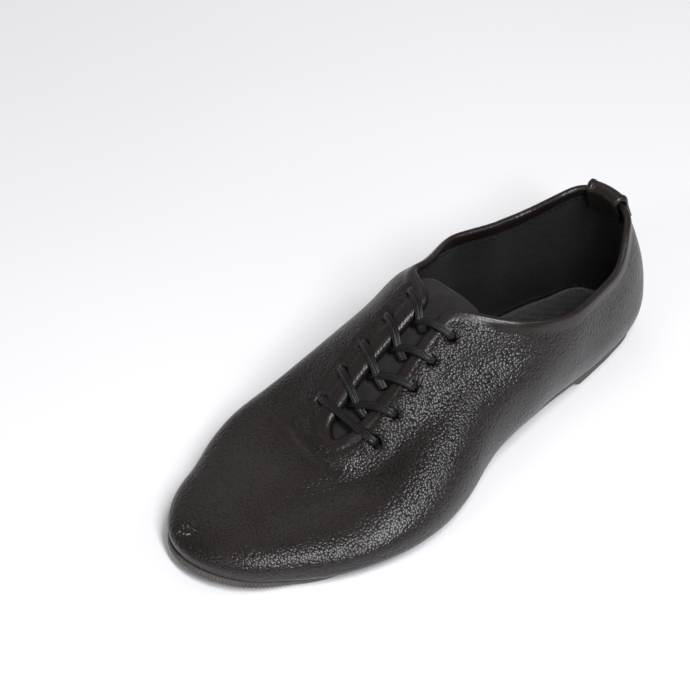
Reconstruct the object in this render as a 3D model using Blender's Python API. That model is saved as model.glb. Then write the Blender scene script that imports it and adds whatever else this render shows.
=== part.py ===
"""Left jazz shoe: a soft one-piece leather upper on a thin moulded rubber sole.

Frame: origin on the floor under the heel seat, toe toward -Y, lateral side toward +X, +Z up.
A station is a distance from the back of the heel, as a share of LENGTH.
The upper's skin follows a last: its feather line is the plan outline, its sections are
superellipses between that line and the ridge of the instep, and below it they turn in
above the sole. Every other piece takes its place from that same skin.
"""

import math
from collections import namedtuple

import bmesh
import bpy
import numpy as np

# Driving dimensions in metres
LENGTH = 0.252
BALL_WIDTH = 0.0955
INSTEP_HEIGHT = 0.063
BACK_HEIGHT = 0.067
COLLAR_LEAN = 0.0035
SIDE_HEIGHT = 0.0205
SIDE_TUCK = 0.010
WALL = 0.002
ROLL_WALL = 0.003
SOLE_THICKNESS = 0.0032
ARCH_LIFT = 0.0065
RIM_STEP = 0.0007
INSOLE_THICKNESS = 0.0018
THROAT_WIDTH = 0.0145
EYELET_DIAMETER = 0.0036
EYELET_SETBACK = 0.0095
LACE_DIAMETER = 0.0028
TONGUE_WIDTH = 0.044
TONGUE_THICKNESS = 0.0015
TAB_WIDTH = 0.024
TAB_DROP = 0.010
TAB_THICKNESS = 0.0014
CLEARANCE = 0.0003

# Stations of single features
HEEL_CENTRE = 0.13
HEEL_SEAT = 0.11
HEEL_BREAST = 0.215
BREAST_RUN = 0.014
TOE_CENTRE = 0.88
THROAT_END = 0.70
TONGUE_FRONT = 0.755
TONGUE_TOP = 0.412
TOE_TIP_OFFSET = -0.095

# Plan outline at its widest: station, lateral and medial reach as shares of BALL_WIDTH
OUTLINE = (
    (0.02, 0.200, 0.180),
    (0.07, 0.300, 0.258),
    (0.14, 0.350, 0.325),
    (0.24, 0.390, 0.372),
    (0.36, 0.420, 0.358),
    (0.48, 0.447, 0.326),
    (0.58, 0.517, 0.390),
    (0.68, 0.541, 0.474),
    (0.76, 0.501, 0.505),
    (0.84, 0.410, 0.478),
    (0.91, 0.279, 0.423),
    (0.96, 0.165, 0.333),
    (0.99, 0.035, 0.228),
)

# Sections: station, ridge height as a share of INSTEP_HEIGHT, fullness, ridge offset in BALL_WIDTH
SECTIONS = (
    (0.00, 1.400, 2.00, 0.000),
    (0.20, 1.380, 2.10, 0.000),
    (0.35, 1.200, 2.10, -0.008),
    (0.48, 1.010, 1.75, -0.020),
    (0.60, 0.735, 2.00, -0.022),
    (0.70, 0.470, 2.18, -0.018),
    (0.80, 0.355, 2.30, -0.012),
    (0.88, 0.337, 2.40, -0.012),
    (0.95, 0.322, 2.45, -0.030),
    (1.00, 0.292, 2.45, -0.040),
)

# Medial flank: station, how far the soft leather hangs out over the sole in BALL_WIDTH, fullness
MEDIAL = (
    (0.00, 0.000, 2.00),
    (0.18, 0.000, 2.10),
    (0.28, 0.050, 2.60),
    (0.36, 0.092, 2.75),
    (0.44, 0.119, 2.75),
    (0.52, 0.122, 2.75),
    (0.60, 0.108, 2.75),
    (0.70, 0.079, 2.75),
    (0.80, 0.038, 2.60),
    (0.88, 0.000, 2.40),
    (1.00, 0.000, 2.45),
)

# Collar: station, height as a share of BACK_HEIGHT, lateral and medial lean in COLLAR_LEAN
COLLAR = (
    (0.00, 1.000, 0.15, 0.15),
    (0.06, 0.950, -0.35, -0.35),
    (0.15, 0.820, 0.00, 0.30),
    (0.25, 0.820, 0.20, 0.50),
    (0.36, 0.930, 0.50, -2.00),
    (0.42, 0.985, 0.00, -0.50),
    (0.47, 1.055, 0.00, 0.00),
    (0.52, 1.290, 0.00, 0.00),
    (1.00, 1.300, 0.00, 0.00),
)

# Lower side: station, widest line above the feather in SIDE_HEIGHT, how far the upper's lower
# edge and the sole's edge lie inside that line, in SIDE_TUCK, and fullness of the turn between
SIDES = (
    (0.00, 0.85, 0.66, 0.50, 1.70),
    (0.12, 0.92, 0.94, 0.80, 1.70),
    (0.25, 1.00, 1.06, 0.90, 1.65),
    (0.45, 0.80, 1.00, 0.86, 1.80),
    (0.60, 0.58, 0.94, 0.80, 2.50),
    (0.80, 0.42, 0.86, 0.72, 2.90),
    (0.88, 0.34, 0.54, 0.36, 2.60),
    (0.94, 0.28, 0.30, 0.08, 2.30),
    (1.00, 0.23, 0.20, -0.04, 2.20),
)

# Rise of the sole's top above its flat forefoot: station, share of ARCH_LIFT
RISE = (
    (0.00, 0.30),
    (0.18, 0.36),
    (0.33, 0.90),
    (0.45, 0.66),
    (0.56, 0.22),
    (0.64, 0.00),
    (0.84, 0.00),
    (0.90, 0.16),
    (1.00, 0.66),
)

# Gap between the flaps: station, share of THROAT_WIDTH
THROAT = (
    (0.40, 0.66),
    (0.50, 0.74),
    (0.58, 0.96),
    (0.64, 1.00),
    (1.00, 1.00),
)

# Lace holes from the front row to the top one: lateral and medial station
EYELETS = (
    (0.662, 0.657),
    (0.617, 0.609),
    (0.570, 0.560),
    (0.522, 0.508),
    (0.474, 0.455),
)

# Tongue: width of its ends as a share of TONGUE_WIDTH, and the shares of its length that
# round an end and that let it sink under the flaps
TONGUE_END = 0.62
TONGUE_ROUND = 0.10
TONGUE_SINK = 0.15

# Lace strands: share of the way to the next row where one comes out of the throat, where it
# goes over the other flap's edge, and its height there in laces' rests
STRAND_START = 0.35
STRAND_EDGE = 0.78
STRAND_MIDDLE_RISE = 0.45
STRAND_EDGE_RISE = 1.40

# Blend of the collar into the throat, in radians
CORNER_BLEND = 0.30

# Mesh fineness
TOE_COLUMNS = 7
UPPER_HEEL_COLUMNS = 14
HEEL_COLUMNS = 13
LOWER_ROWS = 5
UPPER_ROWS = 11
BAR_SIDES = 8
HOLE_SIDES = 10
OUTLINE_SAMPLES = 1600
STRIP_ROWS = 60
FINE = 0.0005

Columns = namedtuple("Columns", "foot spine station reach")


# Curves

def curve(table, column, station):
    """Monotone cubic through one column of a table, flat where two rows are equal."""
    rows = np.array(table)
    x, y = rows[:, 0], rows[:, column]
    run = np.diff(x)
    slope = np.diff(y) / run
    same_way = slope[:-1] * slope[1:] > 0
    total = np.where(same_way, slope[:-1] + slope[1:], 1.0)
    inner = np.where(same_way, 2 * slope[:-1] * slope[1:] / total, 0.0)
    tangent = np.concatenate([slope[:1], inner, slope[-1:]])
    at = np.clip(station, x[0], x[-1])
    i = np.clip(np.searchsorted(x, at) - 1, 0, len(run) - 1)
    u = (at - x[i]) / run[i]
    start = (1 + 2 * u) * (1 - u) ** 2 * y[i] + u * (1 - u) ** 2 * run[i] * tangent[i]
    end = u ** 2 * (3 - 2 * u) * y[i + 1] - u ** 2 * (1 - u) * run[i] * tangent[i + 1]
    return start + end


def closed_spline(points, samples):
    """Periodic cubic spline through plan points, timed by the roots of their distances."""
    knots = np.array(points)
    count = len(knots)
    after = np.roll(knots, -1, axis=0)
    time = np.sqrt(np.linalg.norm(after - knots, axis=1))
    slope = (after - knots) / time[:, None]
    matrix = np.zeros((count, count))
    for i in range(count):
        matrix[i, i - 1] += time[i - 1]
        matrix[i, i] += 2 * (time[i - 1] + time[i])
        matrix[i, (i + 1) % count] += time[i]
    bend = np.linalg.solve(matrix, 6 * (slope - np.roll(slope, 1, axis=0)))
    clock = np.concatenate([[0], np.cumsum(time)])
    at = np.linspace(0, clock[-1], samples, endpoint=False)
    i = np.searchsorted(clock, at, side="right") - 1
    j = (i + 1) % count
    left = (clock[i + 1] - at)[:, None]
    right = (at - clock[i])[:, None]
    span = time[i][:, None]
    cubic = (bend[i] * left ** 3 + bend[j] * right ** 3) / (6 * span)
    line_left = (knots[i] / span - bend[i] * span / 6) * left
    line_right = (knots[j] / span - bend[j] * span / 6) * right
    return cubic + line_left + line_right


def plan_outline():
    """Closed outline in plan: toe tip, lateral side, back of the heel, medial side."""
    tip = [(TOE_TIP_OFFSET * BALL_WIDTH, LENGTH)]
    lateral = [(reach * BALL_WIDTH, at * LENGTH) for at, reach, _ in reversed(OUTLINE)]
    medial = [(-reach * BALL_WIDTH, at * LENGTH) for at, _, reach in OUTLINE]
    return closed_spline(tip + lateral + [(0.0, 0.0)] + medial, OUTLINE_SAMPLES)


# Columns of the last: points of the outline with the spine points that they lean on

def ridge_x(station):
    """Sideways place of the instep's ridge."""
    return curve(SECTIONS, 3, station) * BALL_WIDTH


def spine_point(station):
    """Plan point under the ridge."""
    return np.array([ridge_x(station), station * LENGTH])


def fan(outline, centre, heading, angles):
    """Outline points seen from a spine point; angles turn from the heading toward the lateral side."""
    away = outline - centre
    seen = np.arctan2(away[:, 0], away[:, 1] * heading)
    order = np.argsort(seen)
    x = np.interp(angles, seen[order], outline[order, 0], period=2 * math.pi)
    along = np.interp(angles, seen[order], outline[order, 1], period=2 * math.pi)
    return np.column_stack([x, along])


def side(outline, sign, stations):
    """Outline points on one side, level with spine points."""
    half = outline[outline[:, 0] * sign > 0]
    half = half[np.argsort(half[:, 1])]
    along = np.array(stations) * LENGTH
    return np.column_stack([np.interp(along, half[:, 1], half[:, 0]), along])


def as_columns(foot, spine):
    """Pack outline points and spine points."""
    reach = np.linalg.norm(foot - spine, axis=1)
    return Columns(foot, spine, foot[:, 1] / LENGTH, reach)


def last_columns(stations, heel_columns=HEEL_COLUMNS):
    """Columns round the whole last; stations run from the toe's centre back to the heel's."""
    outline = plan_outline()
    toe = spine_point(stations[0])
    heel = spine_point(stations[-1])
    right = math.pi / 2
    turn = np.linspace(0, right, TOE_COLUMNS + 1)[:-1]
    toe_lateral = fan(outline, toe, 1, turn)
    toe_medial = fan(outline, toe, 1, -turn[:0:-1])
    back = np.linspace(right, -right, heel_columns + 1)[1:-1]
    heel_fan = fan(outline, heel, -1, back)
    lateral = side(outline, 1, stations)
    medial = side(outline, -1, stations)[::-1]
    middle = np.array([spine_point(at) for at in stations])
    foot = np.concatenate([toe_lateral, lateral, heel_fan, medial, toe_medial])
    spine = np.concatenate([
        np.tile(toe, (len(toe_lateral), 1)),
        middle,
        np.tile(heel, (len(heel_fan), 1)),
        middle[::-1],
        np.tile(toe, (len(toe_medial), 1)),
    ])
    return as_columns(foot, spine)


def place(plan, height):
    """World points from plan points and heights."""
    x = plan[..., 0]
    y = HEEL_SEAT * LENGTH - plan[..., 1]
    return np.stack([x, y, np.broadcast_to(height, x.shape)], axis=-1)


# The skin

def sole_top(station):
    """Height of the sole's upper face."""
    return SOLE_THICKNESS + ARCH_LIFT * curve(RISE, 1, station)


def feather(station):
    """Height of the upper's lower edge, just clear of the sole."""
    return sole_top(station) + CLEARANCE


def widest(station):
    """Height of the section's widest line."""
    return feather(station) + SIDE_HEIGHT * curve(SIDES, 1, station)


def tuck(station):
    """How far the lower edge lies inside the widest line."""
    return SIDE_TUCK * curve(SIDES, 2, station)


def ridge_height(station):
    """Height of the section's top."""
    return INSTEP_HEIGHT * curve(SECTIONS, 1, station)


def soft_minimum(a, b, blend):
    """The lesser of two values, rounded where they are closer than the blend."""
    near = np.maximum(blend - np.abs(a - b), 0)
    return np.minimum(a, b) - near ** 2 / (4 * blend)


def throat_half(station):
    """Half of the gap between the flaps, closed by a round end."""
    half = THROAT_WIDTH / 2
    inside = np.clip((THROAT_END - station) * LENGTH / half, 0, 1)
    return half * curve(THROAT, 1, station) * np.sqrt(1 - (1 - inside) ** 2)


def is_lateral(columns):
    """Whether each column leans to the lateral side."""
    return columns.foot[:, 0] >= columns.spine[:, 0]


def slump(columns):
    """How far the medial flank hangs out over the sole."""
    return np.where(is_lateral(columns), 0.0, BALL_WIDTH * curve(MEDIAL, 1, columns.station))


def section_fullness(columns):
    """Fullness of the section above the widest line, its own on the medial side."""
    at = columns.station
    return np.where(is_lateral(columns), curve(SECTIONS, 2, at), curve(MEDIAL, 2, at))


def top_angle(columns):
    """Section angle at the upper's edge: the collar, the throat or the closed ridge."""
    at = columns.station
    low = widest(at)
    share = (BACK_HEIGHT * curve(COLLAR, 1, at) - low) / (ridge_height(at) - low)
    fullness = section_fullness(columns)
    collar = np.arcsin(np.clip(share, 0, 1) ** (fullness / 2)) + 8 * np.maximum(share - 1, 0)
    gap = np.clip(throat_half(at) / (columns.reach + slump(columns)), 0, 1)
    throat = np.arccos(gap ** (fullness / 2))
    closed = at >= THROAT_END
    return np.where(closed, math.pi / 2, soft_minimum(collar, throat, CORNER_BLEND))


def skin_point(columns, angle, top):
    """Skin points of all columns at one section angle, negative below the widest line."""
    at = columns.station
    fullness = section_fullness(columns)
    low = widest(at)
    away = (columns.foot - columns.spine) / columns.reach[:, None]
    upper = np.maximum(angle, 0)
    extra = slump(columns)
    outward = (columns.reach + extra) * np.maximum(np.cos(upper), 0) ** (2 / fullness)
    lower = np.minimum(angle, 0)
    turn = curve(SIDES, 4, at)
    dip = 1 - np.maximum(np.cos(lower), 0) ** (2 / turn)
    lean = np.where(is_lateral(columns), curve(COLLAR, 2, at), curve(COLLAR, 3, at)) * COLLAR_LEAN
    outward = outward - (tuck(at) + extra) * dip + lean * (upper / top) ** 2
    plan = columns.spine + away * outward[:, None]
    ridge = ridge_height(np.where(at > TOE_CENTRE, plan[:, 1] / LENGTH, at))
    rise = (ridge - low) * np.sin(upper) ** (2 / fullness)
    drop = (low - feather(at)) * np.sin(-lower) ** (2 / turn)
    return place(plan, low + rise - drop)


def skin_grid(columns, lower_rows, upper_rows):
    """Skin points, a column for each outline point, a row for each angle from feather to edge."""
    top = top_angle(columns)
    below = [np.full_like(top, -math.pi / 2 * (1 - j / lower_rows)) for j in range(lower_rows)]
    above = [top * j / upper_rows for j in range(upper_rows + 1)]
    return np.stack([skin_point(columns, angle, top) for angle in below + above], axis=1)


def instep_point(station, offset):
    """Skin point level with a station, a distance to the lateral side of the ridge."""
    at = np.asarray(station, dtype=float)
    outline = plan_outline()
    on_lateral = np.asarray(offset) >= 0
    lateral = side(outline, 1, at.ravel())[:, 0].reshape(at.shape)
    medial = side(outline, -1, at.ravel())[:, 0].reshape(at.shape) - BALL_WIDTH * curve(MEDIAL, 1, at)
    reach = np.abs(np.where(on_lateral, lateral, medial) - ridge_x(at))
    fullness = np.where(on_lateral, curve(SECTIONS, 2, at), curve(MEDIAL, 2, at))
    share = np.clip(np.abs(offset) / reach, 0, 1)
    low = widest(at)
    height = low + (ridge_height(at) - low) * (1 - share ** fullness) ** (1 / fullness)
    plan = np.stack([ridge_x(at) + offset, at * LENGTH], axis=-1)
    return place(plan, height)


def instep_normal(station, offset):
    """Outward direction of the skin at an instep point."""
    step = FINE / LENGTH
    along = instep_point(station - step, offset) - instep_point(station + step, offset)
    across = instep_point(station, offset + FINE) - instep_point(station, offset - FINE)
    normal = np.cross(across, along)
    return normal / np.linalg.norm(normal, axis=-1, keepdims=True)


def above_instep(station, offset, height):
    """Point at a height over the skin, along its normal."""
    at = np.asarray(station, dtype=float)
    off = np.asarray(offset, dtype=float)
    return instep_point(at, off) + instep_normal(at, off) * np.asarray(height)[..., None]


# Meshes and materials

def material(name, colour, roughness):
    """A Principled material."""
    made = bpy.data.materials.new(name)
    made.use_nodes = True
    shader = made.node_tree.nodes["Principled BSDF"]
    shader.inputs["Base Color"].default_value = (*colour, 1)
    shader.inputs["Roughness"].default_value = roughness
    shader.inputs["Metallic"].default_value = 0
    return made


def grid_faces(columns, rows, closed):
    """Quads of a grid whose vertices run row by row within each column."""
    last = columns if closed else columns - 1
    faces = []
    for i in range(last):
        j = (i + 1) % columns
        for k in range(rows - 1):
            faces.append((i * rows + k, j * rows + k, j * rows + k + 1, i * rows + k + 1))
    return faces


def add_object(name, vertices, faces, finish, weld=False):
    """Object from vertices and faces, smooth but for its sharp edges."""
    mesh = bpy.data.meshes.new(name)
    mesh.from_pydata([tuple(v) for v in vertices], [], faces)
    if weld:
        work = bmesh.new()
        work.from_mesh(mesh)
        bmesh.ops.remove_doubles(work, verts=work.verts, dist=1e-6)
        bmesh.ops.dissolve_degenerate(work, edges=work.edges, dist=1e-6)
        work.to_mesh(mesh)
        work.free()
    mesh.shade_smooth()
    mesh.set_sharp_from_angle(angle=math.radians(40))
    mesh.materials.append(finish)
    made = bpy.data.objects.new(name, mesh)
    bpy.context.scene.collection.objects.link(made)
    return made


def thicken(target, thickness, side_of_sheet):
    """Solidify a sheet: -1 adds its wall behind the faces, 1 in front of them."""
    wall = target.modifiers.new("wall", "SOLIDIFY")
    wall.thickness = thickness
    wall.offset = side_of_sheet
    return wall


def combine(target, tool, operation):
    """Exact Boolean with a tool that is left out of the model."""
    tool.hide_render = True
    tool.display_type = "WIRE"
    step = target.modifiers.new(tool.name, "BOOLEAN")
    step.operation = operation
    step.solver = "EXACT"
    step.object = tool


def tube(name, points, radius, sides, finish):
    """Round bar along points, with flat ends; its frame turns as little as it can."""
    path = np.array(points)
    heading = np.gradient(path, axis=0)
    heading /= np.linalg.norm(heading, axis=1)[:, None]
    normal = np.cross(heading[0], (0.0, 0.0, 1.0))
    rings = []
    turn = np.arange(sides) * 2 * math.pi / sides
    for centre, forward in zip(path, heading):
        normal = normal - forward * normal.dot(forward)
        normal /= np.linalg.norm(normal)
        other = np.cross(forward, normal)
        rings.append(centre + radius * (np.outer(np.cos(turn), normal) + np.outer(np.sin(turn), other)))
    faces = []
    for i in range(len(path) - 1):
        for k in range(sides):
            m = (k + 1) % sides
            faces.append((i * sides + k, i * sides + m, (i + 1) * sides + m, (i + 1) * sides + k))
    faces.append(tuple(range(sides))[::-1])
    end = (len(path) - 1) * sides
    faces.append(tuple(range(end, end + sides)))
    return add_object(name, np.concatenate(rings), faces, finish)


# Pieces

def upper_stations():
    """Stations of the upper's columns, closer together round the throat's end."""
    half = THROAT_WIDTH / 2 / LENGTH
    vamp = np.linspace(TOE_CENTRE, THROAT_END, 8)
    round_end = THROAT_END - half * (1 - np.cos(np.radians([30, 60, 90])))
    sides = np.linspace(THROAT_END - half, HEEL_CENTRE, 24)[1:]
    return np.concatenate([vamp, round_end, sides])


def make_upper(finish):
    """Hollow upper: its skin, a wall behind it that is thicker at the collar, and lace holes."""
    columns = last_columns(upper_stations(), UPPER_HEEL_COLUMNS)
    grid = skin_grid(columns, LOWER_ROWS, UPPER_ROWS)
    count, rows = grid.shape[:2]
    upper = add_object("upper", grid.reshape(-1, 3), grid_faces(count, rows, True), finish, weld=True)
    wall = thicken(upper, ROLL_WALL, -1)
    roll = upper.vertex_groups.new(name="roll")
    roll.add(collar_vertices(upper.data), 1.0, "REPLACE")
    wall.vertex_group = roll.name
    wall.thickness_vertex_group = WALL / ROLL_WALL
    for number, (lateral, medial) in enumerate(EYELETS, start=1):
        for name, station, sign in (("lateral", lateral, 1), ("medial", medial, -1)):
            combine(upper, eyelet_cutter(f"hole_{name}_{number}", station, sign, finish), "DIFFERENCE")
    return upper


def collar_vertices(mesh):
    """Vertices of the upper's open edge behind the throat."""
    front = (HEEL_SEAT - EYELETS[-1][1]) * LENGTH
    work = bmesh.new()
    work.from_mesh(mesh)
    found = [v.index for v in work.verts if v.is_boundary and v.co.y > front and v.co.z > SIDE_HEIGHT * 2]
    work.free()
    return found


def eyelet_offset(station, sign):
    """Sideways place of a lace hole, a setback from the flap's edge."""
    return sign * (throat_half(station) + EYELET_SETBACK)


def eyelet_cutter(name, station, sign, finish):
    """Bar through the wall at a lace hole."""
    offset = eyelet_offset(station, sign)
    ends = above_instep([station, station], [offset, offset], [-2 * ROLL_WALL, ROLL_WALL])
    return tube(name, ends, EYELET_DIAMETER / 2, HOLE_SIDES, finish)


def make_outsole(finish):
    """Moulded sole: flat forefoot and heel, raised waist, sprung toe and a stepped rim."""
    front = np.linspace(TOE_CENTRE, HEEL_BREAST + BREAST_RUN, 18)
    back = np.linspace(HEEL_BREAST, HEEL_CENTRE, 3)
    stations = np.concatenate([front, back])
    columns = last_columns(stations)
    at = columns.station
    away = (columns.foot - columns.spine) / columns.reach[:, None]
    edge = columns.reach - SIDE_TUCK * curve(SIDES, 3, at)
    top = sole_top(at)
    raised = np.clip((at - HEEL_BREAST) / BREAST_RUN, 0, 1)
    bottom = raised * (top - SOLE_THICKNESS)
    levels = (
        (edge - RIM_STEP, top),
        (edge - RIM_STEP, top - RIM_STEP),
        (edge, top - RIM_STEP),
        (edge, bottom + RIM_STEP),
        (edge - RIM_STEP, bottom),
    )
    rings = [place(columns.spine + away * reach[:, None], height) for reach, height in levels]
    return slab("outsole", rings[::-1], len(stations), finish)


def slab(name, rings, stations, finish):
    """Solid from closed rings, bottom to top, with ladder faces below and above."""
    count = len(rings[0])
    vertices = np.concatenate(rings)
    faces = []
    for level in range(len(rings) - 1):
        for i in range(count):
            j = (i + 1) % count
            low, high = level * count, (level + 1) * count
            faces.append((low + i, low + j, high + j, high + i))
    lateral = [TOE_COLUMNS + i for i in range(stations)]
    first_medial = TOE_COLUMNS + stations + HEEL_COLUMNS - 1
    medial = [first_medial + stations - 1 - i for i in range(stations)]
    toe = list(range(medial[0], count)) + list(range(lateral[0] + 1))
    heel = list(range(lateral[-1], medial[-1] + 1))
    caps = [tuple(toe), tuple(heel)]
    for i in range(stations - 1):
        caps.append((medial[i], lateral[i], lateral[i + 1], medial[i + 1]))
    high = (len(rings) - 1) * count
    faces += [tuple(high + v for v in cap) for cap in caps]
    faces += [cap[::-1] for cap in caps]
    return add_object(name, vertices, faces, finish)


def make_insole(finish):
    """Thin board inside the upper, clear of its lower edge."""
    stations = np.linspace(TOE_CENTRE, HEEL_CENTRE, 16)
    columns = last_columns(stations)
    at = columns.station
    away = (columns.foot - columns.spine) / columns.reach[:, None]
    edge = columns.reach - tuck(at) - WALL - 2 * CLEARANCE
    plan = columns.spine + away * edge[:, None]
    rings = [place(plan, feather(at)), place(plan, feather(at) + INSOLE_THICKNESS)]
    return slab("insole", rings, len(stations), finish)


def make_tongue(finish):
    """Sheet under the throat: close to the vamp at its front, a little lower behind it."""
    stations = np.linspace(TONGUE_FRONT, TONGUE_TOP, 18)
    across = np.linspace(-1, 1, 13)
    at, share = np.meshgrid(stations, across, indexing="ij")
    to_front = (TONGUE_FRONT - at) / (TONGUE_FRONT - TONGUE_TOP)
    to_end = np.clip(np.minimum(to_front, 1 - to_front) / TONGUE_ROUND, 0, 1)
    half = TONGUE_WIDTH / 2 * (TONGUE_END + (1 - TONGUE_END) * np.sqrt(to_end * (2 - to_end)))
    sink = (ROLL_WALL - WALL + CLEARANCE) * np.clip(to_front / TONGUE_SINK, 0, 1)
    depth = WALL + 2 * CLEARANCE + sink
    grid = above_instep(at, share * half, -depth)
    faces = [face[::-1] for face in grid_faces(*grid.shape[:2], False)]
    tongue = add_object("tongue", grid.reshape(-1, 3), faces, finish)
    thicken(tongue, TONGUE_THICKNESS, -1)
    return tongue


def collar_strip(angles, drops):
    """Skin points and normals at the back, at distances below the collar's edge."""
    outline = plan_outline()
    heel = spine_point(HEEL_CENTRE)
    foot = fan(outline, heel, -1, angles)
    columns = as_columns(foot, np.tile(heel, (len(foot), 1)))
    grid = skin_grid(columns, 1, STRIP_ROWS)[:, 1:][:, ::-1]
    steps = np.linalg.norm(np.diff(grid, axis=1), axis=2)
    fallen = np.concatenate([np.zeros((len(foot), 1)), np.cumsum(steps, axis=1)], axis=1)
    strip = np.stack([
        np.stack([np.interp(drops, fallen[i], grid[i, :, k]) for k in range(3)], axis=1)
        for i in range(len(foot))
    ])
    normal = np.cross(np.gradient(strip, axis=1), np.gradient(strip, axis=0))
    return strip, normal / np.linalg.norm(normal, axis=2, keepdims=True)


def make_heel_tab(finish):
    """Leather folded over the collar's edge at the back."""
    reach = HEEL_CENTRE * LENGTH
    half = TAB_WIDTH / 2 / reach
    angles = np.linspace(half, -half, 11)
    drops = np.linspace(0, TAB_DROP, 5)
    strip, normal = collar_strip(angles, drops)
    outside = (strip + normal * CLEARANCE)[:, ::-1]
    inside = strip - normal * (ROLL_WALL + CLEARANCE)
    top, out = strip[:, 0], normal[:, 0]
    up = strip[:, 0] - strip[:, 1]
    up /= np.linalg.norm(up, axis=1)[:, None]
    centre = top - out * ROLL_WALL / 2
    radius = ROLL_WALL / 2 + CLEARANCE
    arc = [centre + radius * (out * math.cos(a) + up * math.sin(a)) for a in np.radians([36, 72, 108, 144])]
    grid = np.concatenate([outside, np.stack(arc, axis=1), inside], axis=1)
    tab = add_object("heel_tab", grid.reshape(-1, 3), grid_faces(*grid.shape[:2], False), finish)
    thicken(tab, TAB_THICKNESS, 1)
    return tab


def lace_rest():
    """Height of a lace's middle over the skin that it lies on."""
    return LACE_DIAMETER / 2 + 2 * CLEARANCE


def smooth_route(knots, count):
    """Points along a curve through station, offset and height knots."""
    knots = np.array(knots)
    time = np.linspace(0, 1, len(knots))
    at = np.linspace(0, 1, count)
    table = np.column_stack([time, knots])
    return [curve(table, column, at) for column in (1, 2, 3)]


def lace_bar(finish):
    """Straight bar between the two front holes."""
    lateral, medial = EYELETS[0]
    start = (medial, eyelet_offset(medial, -1), lace_rest())
    end = (lateral, eyelet_offset(lateral, 1), lace_rest())
    middle = ((lateral + medial) / 2, 0.0, lace_rest())
    route = smooth_route([start, middle, end], 9)
    return tube("lace_bar", above_instep(*route), LACE_DIAMETER / 2, BAR_SIDES, finish)


def strand(name, low_station, high_station, sign, finish):
    """Half a crossing: out of the throat beside one flap, over the other one to its hole."""
    advance = high_station - low_station
    start = low_station + STRAND_START * advance
    middle = low_station + advance / 2
    inner = throat_half(start) - LACE_DIAMETER / 2 - 2 * CLEARANCE
    sunk = -(ROLL_WALL + CLEARANCE) + LACE_DIAMETER / 2
    edge = throat_half(high_station)
    knots = (
        (start, sign * inner, sunk),
        (middle, 0.0, lace_rest() * STRAND_MIDDLE_RISE),
        (low_station + STRAND_EDGE * advance, -sign * edge, lace_rest() * STRAND_EDGE_RISE),
        (high_station, eyelet_offset(high_station, -sign), lace_rest()),
    )
    return tube(name, above_instep(*smooth_route(knots, 10)), LACE_DIAMETER / 2, BAR_SIDES, finish)


def lace_crossing(number, finish):
    """Two strands joined where they cross between one row of holes and the next."""
    low_lateral, low_medial = EYELETS[number - 1]
    high_lateral, high_medial = EYELETS[number]
    crossing = strand(f"lace_crossing_{number}", low_lateral, high_medial, 1, finish)
    other = strand(f"other_strand_{number}", low_medial, high_lateral, -1, finish)
    combine(crossing, other, "UNION")
    return crossing


def main():
    """Build the shoe."""
    for old in list(bpy.data.objects):
        bpy.data.objects.remove(old)
    leather = material("black_leather", (0.030, 0.026, 0.025), 0.45)
    suede = material("black_suede", (0.022, 0.020, 0.020), 0.90)
    rubber = material("black_rubber", (0.018, 0.018, 0.018), 0.70)
    cloth = material("black_insole_cloth", (0.016, 0.016, 0.017), 0.85)
    cord = material("black_cord", (0.014, 0.014, 0.015), 0.60)
    make_upper(leather)
    make_outsole(rubber)
    make_insole(cloth)
    make_tongue(suede)
    make_heel_tab(leather)
    lace_bar(cord)
    for number in range(1, len(EYELETS)):
        lace_crossing(number, cord)


main()
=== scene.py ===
"""Left jazz shoe in soft black leather: the dressed surfaces, their materials, the light and the camera.

Frame: metres, origin on the floor under the heel seat, toe toward -Y, lateral side toward +X, +Z up.
A station is a distance from the back of the heel, as a share of the length. Every piece of the shoe
is worked out from one surface, the skin of the last, so that leather, lining, sole, tongue and lace
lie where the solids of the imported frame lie.
"""

import math
from collections import namedtuple

import bmesh
import bpy
import numpy as np
from mathutils import Matrix, Vector


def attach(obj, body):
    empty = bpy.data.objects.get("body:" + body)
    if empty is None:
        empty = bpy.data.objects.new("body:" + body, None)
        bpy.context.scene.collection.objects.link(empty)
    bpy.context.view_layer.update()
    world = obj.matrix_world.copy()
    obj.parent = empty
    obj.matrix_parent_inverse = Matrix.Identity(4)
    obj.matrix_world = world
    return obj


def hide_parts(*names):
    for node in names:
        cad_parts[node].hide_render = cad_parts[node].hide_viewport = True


bl_info = {
    "name": "Jazz shoe",
    "version": (1, 0, 0),
    "blender": (4, 5, 0),
    "location": "View3D > Sidebar > Shoe",
    "description": "Soft leather jazz shoe with a thin rubber sole, dressed from its last",
    "category": "Object",
}

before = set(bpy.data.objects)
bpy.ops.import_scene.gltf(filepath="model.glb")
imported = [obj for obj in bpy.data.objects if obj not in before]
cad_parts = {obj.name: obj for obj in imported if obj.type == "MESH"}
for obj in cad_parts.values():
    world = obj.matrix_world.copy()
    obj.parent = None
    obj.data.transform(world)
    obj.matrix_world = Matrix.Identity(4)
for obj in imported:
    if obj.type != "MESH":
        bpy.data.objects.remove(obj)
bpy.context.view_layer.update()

# Stations of single features
HEEL_CENTRE = 0.13
HEEL_SEAT = 0.11
HEEL_BREAST = 0.215
BREAST_RUN = 0.014
TOE_CENTRE = 0.88
THROAT_END = 0.70
TONGUE_FRONT = 0.755
TONGUE_TOP = 0.412
TOE_TIP_OFFSET = -0.095

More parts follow.
